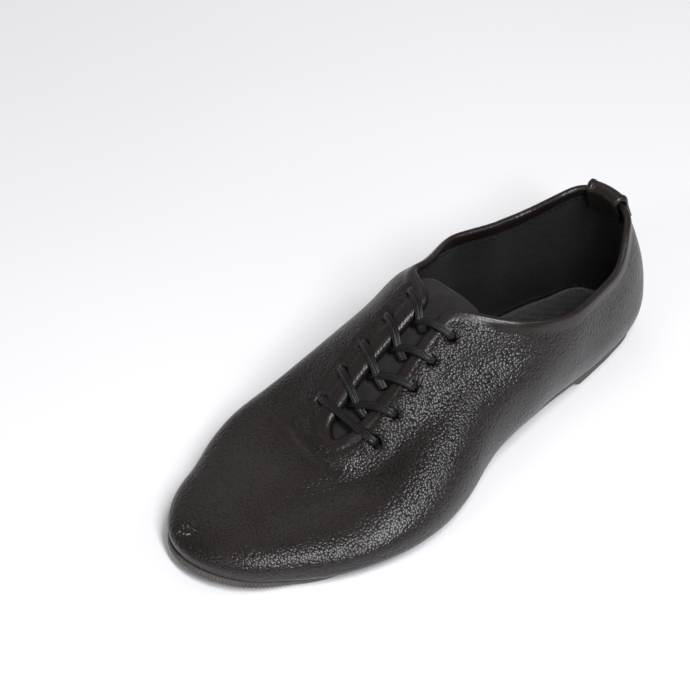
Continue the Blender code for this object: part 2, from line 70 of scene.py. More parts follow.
# Plan outline at its widest: station, lateral and medial reach as shares of the ball width
OUTLINE = (
    (0.02, 0.200, 0.180),
    (0.07, 0.300, 0.258),
    (0.14, 0.350, 0.325),
    (0.24, 0.390, 0.372),
    (0.36, 0.420, 0.358),
    (0.48, 0.447, 0.326),
    (0.58, 0.517, 0.390),
    (0.68, 0.541, 0.474),
    (0.76, 0.501, 0.505),
    (0.84, 0.410, 0.478),
    (0.91, 0.279, 0.423),
    (0.96, 0.165, 0.333),
    (0.99, 0.035, 0.228),
)

# Sections: station, ridge height as a share of the instep's, fullness, ridge offset in ball widths
SECTIONS = (
    (0.00, 1.400, 2.00, 0.000),
    (0.20, 1.380, 2.10, 0.000),
    (0.35, 1.200, 2.10, -0.008),
    (0.48, 1.010, 1.75, -0.020),
    (0.60, 0.735, 2.00, -0.022),
    (0.70, 0.470, 2.18, -0.018),
    (0.80, 0.355, 2.30, -0.012),
    (0.88, 0.337, 2.40, -0.012),
    (0.95, 0.322, 2.45, -0.030),
    (1.00, 0.292, 2.45, -0.040),
)

# Medial flank: station, how far the soft leather slumps out over the sole in ball widths, fullness
MEDIAL = (
    (0.00, 0.000, 2.00),
    (0.18, 0.000, 2.10),
    (0.28, 0.050, 2.60),
    (0.36, 0.092, 2.75),
    (0.44, 0.119, 2.75),
    (0.52, 0.122, 2.75),
    (0.60, 0.108, 2.75),
    (0.70, 0.079, 2.75),
    (0.80, 0.038, 2.60),
    (0.88, 0.000, 2.40),
    (1.00, 0.000, 2.45),
)

# Collar: station, height as a share of the back's, lateral and medial lean in collar leans
COLLAR = (
    (0.00, 1.000, 0.15, 0.15),
    (0.06, 0.950, -0.35, -0.35),
    (0.15, 0.820, 0.00, 0.30),
    (0.25, 0.820, 0.20, 0.50),
    (0.36, 0.930, 0.50, -2.00),
    (0.42, 0.985, 0.00, -0.50),
    (0.47, 1.055, 0.00, 0.00),
    (0.52, 1.290, 0.00, 0.00),
    (1.00, 1.300, 0.00, 0.00),
)

# Lower side: station, widest line above the feather in side heights, how far the upper's lower
# edge and the sole's edge lie inside that line in side tucks, and fullness of the turn between
SIDES = (
    (0.00, 0.85, 0.66, 0.50, 1.70),
    (0.12, 0.92, 0.94, 0.80, 1.70),
    (0.25, 1.00, 1.06, 0.90, 1.65),
    (0.45, 0.80, 1.00, 0.86, 1.80),
    (0.60, 0.58, 0.94, 0.80, 2.50),
    (0.80, 0.42, 0.86, 0.72, 2.90),
    (0.88, 0.34, 0.54, 0.36, 2.60),
    (0.94, 0.28, 0.30, 0.08, 2.30),
    (1.00, 0.23, 0.20, -0.04, 2.20),
)

# Rise of the sole's top above its flat forefoot: station, share of the arch lift
RISE = (
    (0.00, 0.30),
    (0.18, 0.36),
    (0.33, 0.90),
    (0.45, 0.66),
    (0.56, 0.22),
    (0.64, 0.00),
    (0.84, 0.00),
    (0.90, 0.16),
    (1.00, 0.66),
)

# Gap between the flaps: station, share of the throat's width
THROAT = (
    (0.40, 0.66),
    (0.50, 0.74),
    (0.58, 0.96),
    (0.64, 1.00),
    (1.00, 1.00),
)

# Lateral flap's edge near the throat's front end: station, share of that side's gap
TIP = (
    (0.40, 1.00),
    (0.60, 1.00),
    (0.65, 0.78),
    (0.69, 0.50),
    (1.00, 0.45),
)

# Lace holes from the front row to the top one: lateral and medial station
EYELETS = (
    (0.662, 0.657),
    (0.617, 0.609),
    (0.570, 0.560),
    (0.522, 0.508),
    (0.474, 0.455),
)

# Creases: three points of each one's line, as station and share of the way round from the ridge
# (0) over the widest line (1) toward the sole, positive on the lateral side, then width and
# height in crease sizes, where a negative height is a trough
CREASES = (
    ((0.430, 0.540), (0.640, 0.315), (0.860, 0.090), 1.05, -1.15),
    ((0.520, 0.430), (0.620, 0.335), (0.720, 0.260), 0.85, -0.50),
    ((0.280, 0.880), (0.500, 0.760), (0.660, 0.600), 1.60, 0.50),
    ((0.660, 0.600), (0.800, 0.560), (0.950, 0.640), 1.50, 0.45),
    ((0.460, 0.340), (0.560, 0.240), (0.650, 0.170), 0.65, 0.30),
    ((0.700, -0.060), (0.800, -0.080), (0.900, -0.060), 1.60, 0.25),
    ((0.460, -0.280), (0.560, -0.230), (0.680, -0.190), 0.60, 0.25),
    ((0.480, -0.520), (0.600, -0.420), (0.760, -0.240), 1.05, -0.30),
    ((0.703, -0.140), (0.716, -0.010), (0.703, 0.120), 0.34, 0.40),
    ((0.714, -0.175), (0.730, -0.020), (0.733, 0.110), 0.15, -0.45),
    ((0.420, 0.900), (0.500, 0.960), (0.580, 1.020), 0.80, -0.25),
    ((0.330, 1.120), (0.430, 1.080), (0.520, 1.100), 0.80, -0.25),
    ((0.300, -1.100), (0.420, -1.000), (0.540, -0.980), 0.80, -0.25),
    ((0.060, 0.880), (0.110, 0.800), (0.190, 0.820), 0.60, -0.20),
    ((0.055, -0.900), (0.110, -0.820), (0.190, -0.830), 0.60, -0.18),
    ((0.250, 0.640), (0.310, 0.680), (0.390, 0.660), 0.75, -0.22),
)

# Soft forms of the leather, in metres: the dimple at a lace hole with its raised lip, the pucker
# between two holes, slow unevenness, and the groove beside the turned edge
DIMPLE = 0.0009
DIMPLE_LIP = 0.0004
PUCKER = 0.00055
UNEVEN = 0.00012
EDGE_GROOVE = 0.00035

# Crossed waves of the unevenness: turns by x, y and z over a ball width, and where each starts
WAVES = (
    (11, 7, 3, 0),
    (5, -13, 9, 1),
    (-9, 5, 17, 2),
)

# Height above the sole and distance from the turned edge, in its radii, where relief is whole
FEATHER_FADE = 0.004
EDGE_FADE = 2.2

# Lace strands: share of the way to the next row where one comes out of the throat, where it
# goes over the other flap's edge, and its heights in laces' rests
STRAND_START = 0.35
STRAND_EDGE = 0.78
STRAND_PAST = 0.93
STRAND_MIDDLE_RISE = 0.45
STRAND_EDGE_RISE = 1.40
STRAND_PAST_RISE = 1.28

# Cord over the leather: rest heights at the hole, beside it and at the bar's middle, how deep its
# end goes into the hole, and how deep a strand starts in the throat
HOLE_RISE = 0.55
BAR_SIDE_RISE = 1.30
BAR_MIDDLE_RISE = 1.10
BAR_SIDE = 0.62
HOLE_DEPTH = 0.0022
THROAT_DEPTH = 0.0039

# Ribs along the cord, their height in its radius, how oval it is, and its points round and along
LACE_RIBS = 7
RIB_HEIGHT = 0.16
LACE_OVAL = (1.06, 0.92)
LACE_ROUND = 40
LACE_ALONG = 90

# Blend of the collar into the throat, in radians, columns over which the edge is eased, how far
# before the throat's end that stops, and how soon a collar above the ridge leaves the section
CORNER_BLEND = 0.30
EASED_COLUMNS = 13
EASED_UNTIL = 0.05
PAST_RIDGE = 8

# Stitches ahead of the throat: station and offset from the ridge in ball widths
TACK = (
    (0.7160, -0.142),
    (0.7245, -0.088),
    (0.7300, -0.026),
    (0.7330, 0.038),
    (0.7335, 0.090),
)

# Stitches: pitch, length and thread radius on the collar's binding and ahead of the throat
COLLAR_STITCH = (0.0026, 0.0017, 0.0002)
TACK_STITCH = (0.0022, 0.0014, 0.00032)

# How deep the stitches ahead of the throat are pulled into the leather
TACK_SUNK = 0.0001

# How far the leather goes down inside before the lining starts, and the row of the upper's grid there
LINING_START = 0.0055
LINING_ROW = 9

# Binding tape: half width and half thickness, the station where it ends, and how far its middle
# and its stitches lie over the wall's inner face
TAPE_HALF = (0.00100, 0.00042)
TAPE_END = 0.44
TAPE_LIFT = 0.0001
TAPE_STITCH_LIFT = 0.00055

# How much thicker the turned edge is along the medial flap, and the station and run where it gets so
ROLL_SHARE = 0.70
ROLL_GROWS = (0.40, 0.06)
ROLL_STEPS = 9

# Beside the turned edge, in its radii: where its swell ends, and the groove's place and half width
SWELL_END = 3.4
GROOVE_AT = 2.5
GROOVE_WIDTH = 0.45

# How far the grain is pulled flat, as a share: over the vamp from a station and a height on, each
# with its run, on the turned edge itself, and near the edge up to a distance, with its run
VAMP_STRETCH = 0.55
VAMP_STATION = (0.66, 0.08)
VAMP_HEIGHT = (0.003, 0.020)
ROLL_STRETCH = 0.65
EDGE_STRETCH = (0.0022, 0.0034)

# Sole's rim at the toe: stations and runs where it climbs the leather and where its teeth start,
# the teeth's height, the rocker in rim steps, and how far the rim runs into the leather
LIP_GROWS = (0.84, 0.08)
TEETH_GROW = (0.875, 0.030)
TOOTH_HEIGHT = 0.0006
ROCKER_STEPS = 1.6
RIM_SEAT = 0.0004

# Heel tab: how far it clears the turned edge in rolls, how far its inside lies below the skin in
# walls, and the heights of its pleats, of their cross folds and of its gathered ends
TAB_SWELL = 0.42
TAB_DEPTH = 1.5
TAB_PLEAT = 0.0004
TAB_FOLD = 0.00022
TAB_GATHER = 0.0005

# Tongue: half width at its ends as a share, how much lower it lies behind, and its waves' height
TONGUE_END = 0.62
TONGUE_SINK = 0.0013
TONGUE_WAVE = 0.0003

# Insole cover: how far its edge bulges, and how much higher its middle is
COVER_BULGE = 0.0002
COVER_CROWN = 0.0006

# Patterns, as repeats in a metre. Those under 1 mm are as coarse as they need to be to show
DYE_CLOUDS = 55.0
SCUFF_SPECKS = 900.0
LINING_HAIR = 2600.0
NAP_HAIR = 1500.0
NAP_PATCHES = 160.0
RUBBER_PITS = 1400.0
RUBBER_BLOOM = 70.0
THREAD_TWIST = 3000.0
PAPER_TONES = 3.0

# Scuffed place at the toe: station, offset in ball widths, height, and where it is whole and ends
SCUFF_PLACE = (0.975, -0.172, 0.0185)
SCUFF_REACH = (0.0022, 0.0058)

# Lamps: name, place, width, depth, power and colour
LIGHTS = (
    ("key", (0.75, -0.40, 1.08), 0.17, 0.78, 18.5, (0.94, 0.95, 1.0)),
    ("side", (0.76, 0.50, 0.90), 0.30, 0.14, 2.0, (0.96, 0.96, 1.0)),
    ("front", (0.08, -1.30, 0.92), 0.40, 0.16, 2.4, (0.95, 0.96, 1.0)),
    ("back", (-0.93, 0.35, 1.11), 1.00, 1.00, 1.5, (1.0, 0.95, 0.93)),
)
LIGHT_TARGET = (0.0, -0.10, 0.03)
SKY_COLOUR = (1.0, 0.97, 0.955, 1)
SKY_STRENGTH = 0.27
EXPOSURE = -0.10

# Camera: azimuth, elevation and roll in degrees, lens and sensor in millimetres, what it looks at
# and how far away it is
CAMERA_ANGLES = (47.617, 42.0, -2.2)
LENS = 138.6
SENSOR = 36.0
CAMERA_TARGET = (-0.0409, -0.1031, 0.03)
CAMERA_DISTANCE = 1.15
FLOOR_REACH = 6.0

# Mesh fineness: columns in the toe's quarter turn and the heel's half turn, rows and samples
TOE_TURN = 44
HEEL_TURN = 74
SIDE_STEPS = 165
THROAT_STEPS = 14
BELOW_ROWS = 26
ABOVE_ROWS = 90
OUTLINE_SAMPLES = 4000

# Rows of the upper's wall: distances of the finer ones below the edge, and number of even ones
NEAR_ROWS = (*np.arange(0.0, 0.0084, 0.0007), 0.0092, 0.0102)
FAR_ROWS = 53

# Row of the wall along which its layout is measured
RUN_ROW = 30

Columns = namedtuple("Columns", "foot spine station reach")


def linear(code):
    """Linear RGB of an sRGB hex value."""
    channels = np.array([int(code[i:i + 2], 16) for i in (1, 3, 5)]) / 255
    return tuple(np.where(channels <= 0.04045, channels / 12.92, ((channels + 0.055) / 1.055) ** 2.4))


def size(label, default, note):
    """A length that a user may change."""
    return bpy.props.FloatProperty(
        name=label, description=note, default=default, unit="LENGTH", precision=4
    )


def tint(label, code, note):
    """A colour that a user may change."""
    return bpy.props.FloatVectorProperty(
        name=label, description=note, default=linear(code), subtype="COLOR", min=0, max=1
    )


class ShoeSizes(bpy.types.PropertyGroup):
    """Driving sizes of the shoe."""

    length: size("Length", 0.252, "From the back of the heel to the toe")
    ball_width: size("Ball width", 0.0955, "Measure that the outline's reach follows")
    instep_height: size("Instep height", 0.063, "Ridge height at the middle of the instep")
    back_height: size("Back height", 0.067, "Top line above the floor at the heel")
    collar_lean: size("Collar lean", 0.0035, "How far the top line leans out or in")
    side_height: size("Side height", 0.0205, "Widest line above the feather")
    side_tuck: size("Side tuck", 0.010, "How far the lower edge turns in")
    wall: size("Wall", 0.002, "Leather and lining together")
    roll: size("Rolled edge", 0.0016, "Radius of the turned edge")
    sole: size("Sole thickness", 0.0032, "Thickness of the moulded sole")
    arch_lift: size("Arch lift", 0.0065, "Rise of the waist and the toe spring")
    rim_step: size("Rim step", 0.0007, "Step round the sole's edge")
    insole: size("Insole thickness", 0.0018, "Board and cover inside the shoe")
    throat_width: size("Throat width", 0.0145, "Gap between the flaps")
    eyelet: size("Lace hole", 0.0036, "Diameter of a punched hole")
    setback: size("Hole setback", 0.0095, "From the flap's edge to a hole's middle")
    lace: size("Lace", 0.0028, "Diameter of the cord")
    tongue_width: size("Tongue width", 0.044, "Widest part of the tongue")
    tongue: size("Tongue thickness", 0.0015, "Suede and its backing")
    tab_width: size("Heel tab width", 0.024, "Width of the leather folded over the back")
    tab_drop: size("Heel tab drop", 0.010, "How far it reaches down inside and outside")
    tab: size("Heel tab thickness", 0.0014, "Thickness of that leather")
    clearance: size("Clearance", 0.0003, "Gap between pieces that seat on each other")
    crease_width: size("Crease width", 0.0095, "Half width of the broadest crease")
    crease_height: size("Crease height", 0.0019, "Depth of the deepest crease")
    # The next two are coarser than the real ones, and so is the tooth, to show in the render
    grain: size("Leather grain", 0.00115, "Distance between the pebbles of the grain")
    knit: size("Lining stitch", 0.0012, "Distance between the stitches of the lining")
    lip: size("Rim lip", 0.0013, "How far the rim climbs the leather at the toe")
    tooth: size("Rim tooth", 0.0016, "Distance between the teeth of the sole's rim")


class ShoeFinishes(bpy.types.PropertyGroup):
    """Colours of the shoe and its surroundings."""

    leather: tint("Leather", "#1f1816", "Drum dyed black leather")
    # The groove colour is painted shade: it darkens the valleys between the leather's pebbles
    groove: tint("Leather grooves", "#0b0908", "Valleys between the pebbles of the grain")
    suede: tint("Suede", "#242120", "Nap of the tongue")
    knit: tint("Lining", "#070708", "Knitted lining")
    binding: tint("Binding", "#101012", "Tape along the top line")
    insole: tint("Insole cover", "#050505", "Cloth over the board")
    rubber: tint("Rubber", "#4d4946", "Moulded sole")
    cord: tint("Lace", "#121215", "Braided cord")
    thread: tint("Thread", "#0d0c0c", "Sewing thread")
    scuff: tint("Scuffs", "#a39a93", "Bare specks at the toe")
    floor: tint("Floor", "#ffffff", "Studio floor")


# Curves and the last

def curve(table, column, station):
    """Monotone cubic through one column of a table: Hermite pieces whose slopes are harmonic means."""
    rows = np.array(table)
    x, y = rows[:, 0], rows[:, column]
    run = np.diff(x)
    slope = np.diff(y) / run
    same_way = slope[:-1] * slope[1:] > 0
    total = np.where(same_way, slope[:-1] + slope[1:], 1.0)
    inner = np.where(same_way, 2 * slope[:-1] * slope[1:] / total, 0.0)
    tangent = np.concatenate([slope[:1], inner, slope[-1:]])
    at = np.clip(station, x[0], x[-1])
    i = np.clip(np.searchsorted(x, at) - 1, 0, len(run) - 1)
    u = (at - x[i]) / run[i]
    start = (1 + 2 * u) * (1 - u) ** 2 * y[i] + u * (1 - u) ** 2 * run[i] * tangent[i]
    end = u ** 2 * (3 - 2 * u) * y[i + 1] - u ** 2 * (1 - u) * run[i] * tangent[i + 1]
    return start + end


def grow(value, start, run):
    """Share from 0 at the start to 1 after the run, straight between."""
    return np.clip((value - start) / run, 0, 1)


def closed_spline(points, samples):
    """Periodic cubic spline through plan points, timed by the roots of their distances."""
    knots = np.array(points)
    count = len(knots)
    after = np.roll(knots, -1, axis=0)
    time = np.sqrt(np.linalg.norm(after - knots, axis=1))
    slope = (after - knots) / time[:, None]
    before = np.roll(time, 1)
    ring = np.eye(count)
    matrix = ring * 2 * (before + time) + np.roll(ring, -1, axis=1) * before[:, None]
    matrix += np.roll(ring, 1, axis=1) * time[:, None]
    bend = np.linalg.solve(matrix, 6 * (slope - np.roll(slope, 1, axis=0)))
    clock = np.concatenate([[0], np.cumsum(time)])
    at = np.linspace(0, clock[-1], samples, endpoint=False)
    i = np.searchsorted(clock, at, side="right") - 1
    j = (i + 1) % count
    left = (clock[i + 1] - at)[:, None]
    right = (at - clock[i])[:, None]
    span = time[i][:, None]
    cubic = (bend[i] * left ** 3 + bend[j] * right ** 3) / (6 * span)
    from_start = (knots[i] / span - bend[i] * span / 6) * left
    return cubic + from_start + (knots[j] / span - bend[j] * span / 6) * right


def plan_outline(s):
    """Closed outline in plan: toe tip, lateral side, back of the heel, medial side."""
    tip = [(TOE_TIP_OFFSET * s.ball_width, s.length)]
    lateral = [(reach * s.ball_width, at * s.length) for at, reach, _ in reversed(OUTLINE)]
    medial = [(-reach * s.ball_width, at * s.length) for at, _, reach in OUTLINE]
    return closed_spline(tip + lateral + [(0.0, 0.0)] + medial, OUTLINE_SAMPLES)


def spine_points(s, stations):
    """Plan points under the ridge."""
    at = np.asarray(stations, dtype=float)
    return np.stack([curve(SECTIONS, 3, at) * s.ball_width, at * s.length], axis=-1)


def fan(outline, centre, heading, angles):
    """Outline points seen from a spine point; angles turn from the heading toward the lateral side."""
    away = outline - centre
    seen = np.arctan2(away[:, 0], away[:, 1] * heading)
    order = np.argsort(seen)
    x = np.interp(angles, seen[order], outline[order, 0], period=2 * math.pi)
    along = np.interp(angles, seen[order], outline[order, 1], period=2 * math.pi)
    return np.column_stack([x, along])


def side(s, outline, sign, stations):
    """Outline points on one side, level with spine points."""
    half = outline[outline[:, 0] * sign > 0]
    half = half[np.argsort(half[:, 1])]
    along = np.asarray(stations) * s.length
    return np.stack([np.interp(along, half[:, 1], half[:, 0]), along], axis=-1)


def as_columns(s, foot, spine):
    """Outline points with the spine points that they lean on."""
    return Columns(foot, spine, foot[:, 1] / s.length, np.linalg.norm(foot - spine, axis=1))


def outward_ways(columns):
    """Plan directions from the spine to the outline, of length one."""
    return (columns.foot - columns.spine) / columns.reach[:, None]


def side_stations(s):
    """Stations from the toe's centre to the heel's, close together round the throat's end."""
    half = s.throat_width / 2 / s.length
    share = (TOE_CENTRE - THROAT_END) / (TOE_CENTRE - HEEL_CENTRE)
    vamp = np.linspace(TOE_CENTRE, THROAT_END, int(SIDE_STEPS * share))
    turn = np.linspace(0, math.pi / 2, THROAT_STEPS)[1:]
    round_end = THROAT_END - half * (1 - np.cos(turn))
    back = np.linspace(THROAT_END - half, HEEL_CENTRE, int(SIDE_STEPS * (1 - share)))[1:]
    return np.concatenate([vamp, round_end, back])


def last_columns(s, toe_turn=TOE_TURN):
    """Columns round the whole last, from the toe tip over the lateral side, heel and medial side."""
    outline = plan_outline(s)
    stations = side_stations(s)
    middle = spine_points(s, stations)
    right = math.pi / 2
    turn = np.linspace(0, right, toe_turn + 1)[:-1]
    back = np.linspace(right, -right, HEEL_TURN + 1)[1:-1]
    foot = np.concatenate([
        fan(outline, middle[0], 1, turn),
        side(s, outline, 1, stations),
        fan(outline, middle[-1], -1, back),
        side(s, outline, -1, stations)[::-1],
        fan(outline, middle[0], 1, -turn[:0:-1]),
    ])
    spine = np.concatenate([
        np.tile(middle[0], (toe_turn, 1)),
        middle,
        np.tile(middle[-1], (HEEL_TURN - 1, 1)),
        middle[::-1],
        np.tile(middle[0], (toe_turn - 1, 1)),
    ])
    return as_columns(s, foot, spine)


def place(s, plan, height):
    """World points from plan points and heights."""
    x = plan[..., 0]
    return np.stack([x, HEEL_SEAT * s.length - plan[..., 1], np.broadcast_to(height, x.shape)], axis=-1)


def sole_top(s, at):
    """Height of the sole's upper face."""
    return s.sole + s.arch_lift * curve(RISE, 1, at)


def feather(s, at):
    """Height of the upper's lower edge, just clear of the sole."""
    return sole_top(s, at) + s.clearance


def widest(s, at):
    """Height of the section's widest line."""
    return feather(s, at) + s.side_height * curve(SIDES, 1, at)


def ridge_height(s, at):
    """Height of the section's top."""
    return s.instep_height * curve(SECTIONS, 1, at)


def throat_half(s, at):
    """Half of the gap between the flaps, closed by a round end."""
    half = s.throat_width / 2
    inside = np.clip((THROAT_END - at) * s.length / half, 0, 1)
    return half * curve(THROAT, 1, at) * np.sqrt(1 - (1 - inside) ** 2)


def is_lateral(columns):
    """Whether each column leans to the lateral side."""
    return columns.foot[:, 0] >= columns.spine[:, 0]


def slump(s, columns):
    """How far the medial flank hangs out over the sole."""
    return np.where(is_lateral(columns), 0.0, s.ball_width * curve(MEDIAL, 1, columns.station))


def section_fullness(columns):
    """Fullness of the section above the widest line, its own on the medial side."""
    at = columns.station
    return np.where(is_lateral(columns), curve(SECTIONS, 2, at), curve(MEDIAL, 2, at))


def eased_ring(values):
    """Each value as the mean of its neighbours round the ring, under a bell."""
    bell = np.hanning(EASED_COLUMNS + 2)[1:-1]
    held = np.pad(values, EASED_COLUMNS // 2, mode="wrap")
    return np.convolve(held, bell / bell.sum(), mode="valid")


def top_angle(s, columns):
    """Section angle at the upper's edge: the lesser of the collar's and the throat's, blended, and
    eased along the ring where there are enough columns."""
    at = columns.station
    low = widest(s, at)
    share = (s.back_height * curve(COLLAR, 1, at) - low) / (ridge_height(s, at) - low)
    fullness = section_fullness(columns)
    reach = columns.reach + slump(s, columns)
    collar = np.arcsin(np.clip(share, 0, 1) ** (fullness / 2)) + PAST_RIDGE * np.maximum(share - 1, 0)
    gap = throat_half(s, at) * np.where(is_lateral(columns), curve(TIP, 1, at), 1.0)
    throat = np.arccos(np.clip(gap / reach, 0, 1) ** (fullness / 2))
    near = np.maximum(CORNER_BLEND - np.abs(collar - throat), 0)
    open_edge = np.minimum(collar, throat) - near ** 2 / (4 * CORNER_BLEND)
    if len(at) > 4 * EASED_COLUMNS:
        open_edge = np.where(at < THROAT_END - EASED_UNTIL, eased_ring(open_edge), open_edge)
    return np.where(at >= THROAT_END, math.pi / 2, open_edge)


def skin_point(s, columns, angle, top):
    """Skin points: above the widest line a superellipse of the section's fullness up to the ridge,
    below it a quarter superellipse that turns in to the feather."""
    at = columns.station
    fullness = section_fullness(columns)
    turn = curve(SIDES, 4, at)
    low = widest(s, at)
    upper = np.maximum(angle, 0)
    lower = np.minimum(angle, 0)
    lean = np.where(is_lateral(columns), curve(COLLAR, 2, at), curve(COLLAR, 3, at)) * s.collar_lean
    dip = 1 - np.maximum(np.cos(lower), 0) ** (2 / turn)
    extra = slump(s, columns)
    outward = (columns.reach + extra) * np.maximum(np.cos(upper), 0) ** (2 / fullness)
    outward = outward - (s.side_tuck * curve(SIDES, 2, at) + extra) * dip + lean * (upper / top) ** 2
    plan = columns.spine + outward_ways(columns) * outward[:, None]
    ridge = ridge_height(s, np.where(at > TOE_CENTRE, plan[:, 1] / s.length, at))
    rise = (ridge - low) * np.sin(upper) ** (2 / fullness)
    drop = (low - feather(s, at)) * np.sin(-lower) ** (2 / turn)
    return place(s, plan, low + rise - drop)


def skin_grid(s, columns, below, above):
    """Skin points, a column for each outline point, a row for each angle from feather to edge."""
    top = top_angle(s, columns)
    lower = [np.full_like(top, -math.pi / 2 * (1 - j / below)) for j in range(below)]
    upper = [top * j / above for j in range(above + 1)]
    return np.stack([skin_point(s, columns, angle, top) for angle in lower + upper], axis=1)


def instep_point(s, station, offset):
    """Skin point level with a station, a distance to the lateral side of the ridge."""
    at = np.asarray(station, dtype=float)
    outline = plan_outline(s)
    middle = spine_points(s, at)
    sides = [side(s, outline, sign, at.ravel())[:, 0].reshape(at.shape) for sign in (1, -1)]
    lateral = np.asarray(offset) >= 0
    reach = np.abs(np.where(lateral, sides[0], sides[1]) - middle[..., 0])
    reach = reach + np.where(lateral, 0.0, s.ball_width * curve(MEDIAL, 1, at))
    fullness = np.where(lateral, curve(SECTIONS, 2, at), curve(MEDIAL, 2, at))
    share = np.clip(np.abs(offset) / reach, 0, 1)
    low = widest(s, at)
    height = low + (ridge_height(s, at) - low) * (1 - share ** fullness) ** (1 / fullness)
    plan = np.stack([middle[..., 0] + offset, at * s.length], axis=-1)
    return place(s, plan, height)


def above_instep(s, station, offset, height):
    """Points at a height over the skin, along its normal, which comes from small steps each way."""
    at = np.asarray(station, dtype=float)
    off = np.asarray(offset, dtype=float)
    fine = 0.0005
    step = fine / s.length
    along = instep_point(s, at - step, off) - instep_point(s, at + step, off)
    across = instep_point(s, at, off + fine) - instep_point(s, at, off - fine)
    normal = unit(np.cross(across, along))
    return instep_point(s, at, off) + normal * np.asarray(height)[..., None]


# Meshes

def unit(vectors):
    """Vectors of length one."""
    return vectors / np.maximum(np.linalg.norm(vectors, axis=-1, keepdims=True), 1e-12)


def walk(line):
    """Distance walked to each point of a line, or of every column of a grid."""
    steps = np.linalg.norm(np.diff(line, axis=-2), axis=-1)
    return np.concatenate([np.zeros_like(steps[..., :1]), np.cumsum(steps, axis=-1)], axis=-1)


def at_distance(wanted, walked, values):
    """Rows of values, straight between the places that have been walked to."""
    return np.stack([np.interp(wanted, walked, column) for column in values.T], axis=-1)


def grid_faces(columns, rows, closed, ringed=False):
    """Quads of a grid whose vertices run row by row in each column, closed along and round if asked."""
    i = np.arange(columns if closed else columns - 1)[:, None]
    k = np.arange(rows if ringed else rows - 1)[None, :]
    j = (i + 1) % columns
    m = (k + 1) % rows
    return np.stack([i * rows + k, j * rows + k, j * rows + m, i * rows + m], axis=-1).reshape(-1, 4)


def spread(run, rise):
    """Layout of a grid in metres: run along its columns and rise along its rows."""
    return np.stack(np.meshgrid(run, rise, indexing="ij"), axis=-1)


def surface(name, points, faces, finishes, weld=False, layout=None, marks=None):
    """Smooth object from points and quads, with a UV map and point attributes where given."""
    points = np.asarray(points, dtype=float).reshape(-1, 3)
    mesh = bpy.data.meshes.new(name)
    mesh.from_pydata(points.tolist(), [], faces.tolist())
    if layout is not None:
        index = np.empty(len(mesh.loops), dtype=np.int32)
        mesh.loops.foreach_get("vertex_index", index)
        mesh.uv_layers.new(name="layout").data.foreach_set("uv", layout.reshape(-1, 2)[index].ravel())
    for key, values in (marks or {}).items():
        mesh.attributes.new(key, "FLOAT", "POINT").data.foreach_set("value", values.ravel())
    mesh.shade_smooth()
    for finish in finishes:
        mesh.materials.append(finish)
    made = bpy.data.objects.new(name, mesh)
    bpy.context.scene.collection.objects.link(made)
    if weld:
        welded(made)
    return made


def settle(target):
    """Replace an object's mesh by the one that its modifiers give."""
    graph = bpy.context.evaluated_depsgraph_get()
    mesh = bpy.data.meshes.new_from_object(target.evaluated_get(graph))
    target.modifiers.clear()
    target.data = mesh


def normals_of(grid, closed):
    """Outward directions of a grid of skin points, from the differences along its two ways."""
    if closed:
        around = (np.roll(grid, -1, axis=0) - np.roll(grid, 1, axis=0)) / 2
    else:
        around = np.gradient(grid, axis=0)
    return unit(np.cross(around, np.gradient(grid, axis=1)))


def carried(path, up, profile, scale):
    """Profile carried along a path: each point is the path's, plus side and up times the profile's,
    times the scale there."""
    ahead = unit(np.gradient(path, axis=0))
    across = unit(np.cross(ahead, up))
    upward = np.cross(across, ahead)
    shape = profile[None] * scale[:, None, None]
    return path[:, None] + across[:, None] * shape[..., :1] + upward[:, None] * shape[..., 1:]


def rounded_ends(count, share):
    """Scale along a tube that closes both ends by a quarter circle."""
    at = np.linspace(0, 1, count)
    inside = np.clip(np.minimum(at, 1 - at) / share, 0, 1)
    return np.sqrt(np.maximum(1 - (1 - inside) ** 2, 0))


def through(knots, count):
    """Smooth line through knots: uniform Catmull-Rom pieces, with mirrored ends."""
    knots = np.array(knots, dtype=float)
    first = 2 * knots[:1] - knots[1:2]
    final = 2 * knots[-1:] - knots[-2:-1]
    held = np.concatenate([first, knots, final])
    time = np.linspace(0, len(knots) - 1, count)
    i = np.minimum(time.astype(int), len(knots) - 2)
    u = (time - i)[:, None]
    a, b, c, d = held[i], held[i + 1], held[i + 2], held[i + 3]
    return b + 0.5 * u * (c - a + u * (2 * a - 5 * b + 4 * c - d + u * (3 * (b - c) + d - a)))


def evenly(path, count):
    """The same line at equal distances."""
    walked = walk(path)
    return at_distance(np.linspace(0, walked[-1], count), walked, path)


# Materials

def node(tree, kind, inputs=None, **settings):
    """Add a node, set its properties, and fill its inputs with values or with other nodes' sockets."""
    made = tree.nodes.new(kind)
    for key, value in settings.items():
        setattr(made, key, value)
    for key, value in (inputs or {}).items():
        if isinstance(value, bpy.types.NodeSocket):
            tree.links.new(value, made.inputs[key])
        else:
            made.inputs[key].default_value = value
    return made


def blank(name):
    """A material with its tree and shader, and the place on the object."""
    made = bpy.data.materials.new(name)
    made.use_nodes = True
    tree = made.node_tree
    return made, tree, tree.nodes["Principled BSDF"], node(tree, "ShaderNodeTexCoord").outputs["Object"]


def rgba(colour):
    """Colour property with full cover."""
    return (*colour, 1.0)


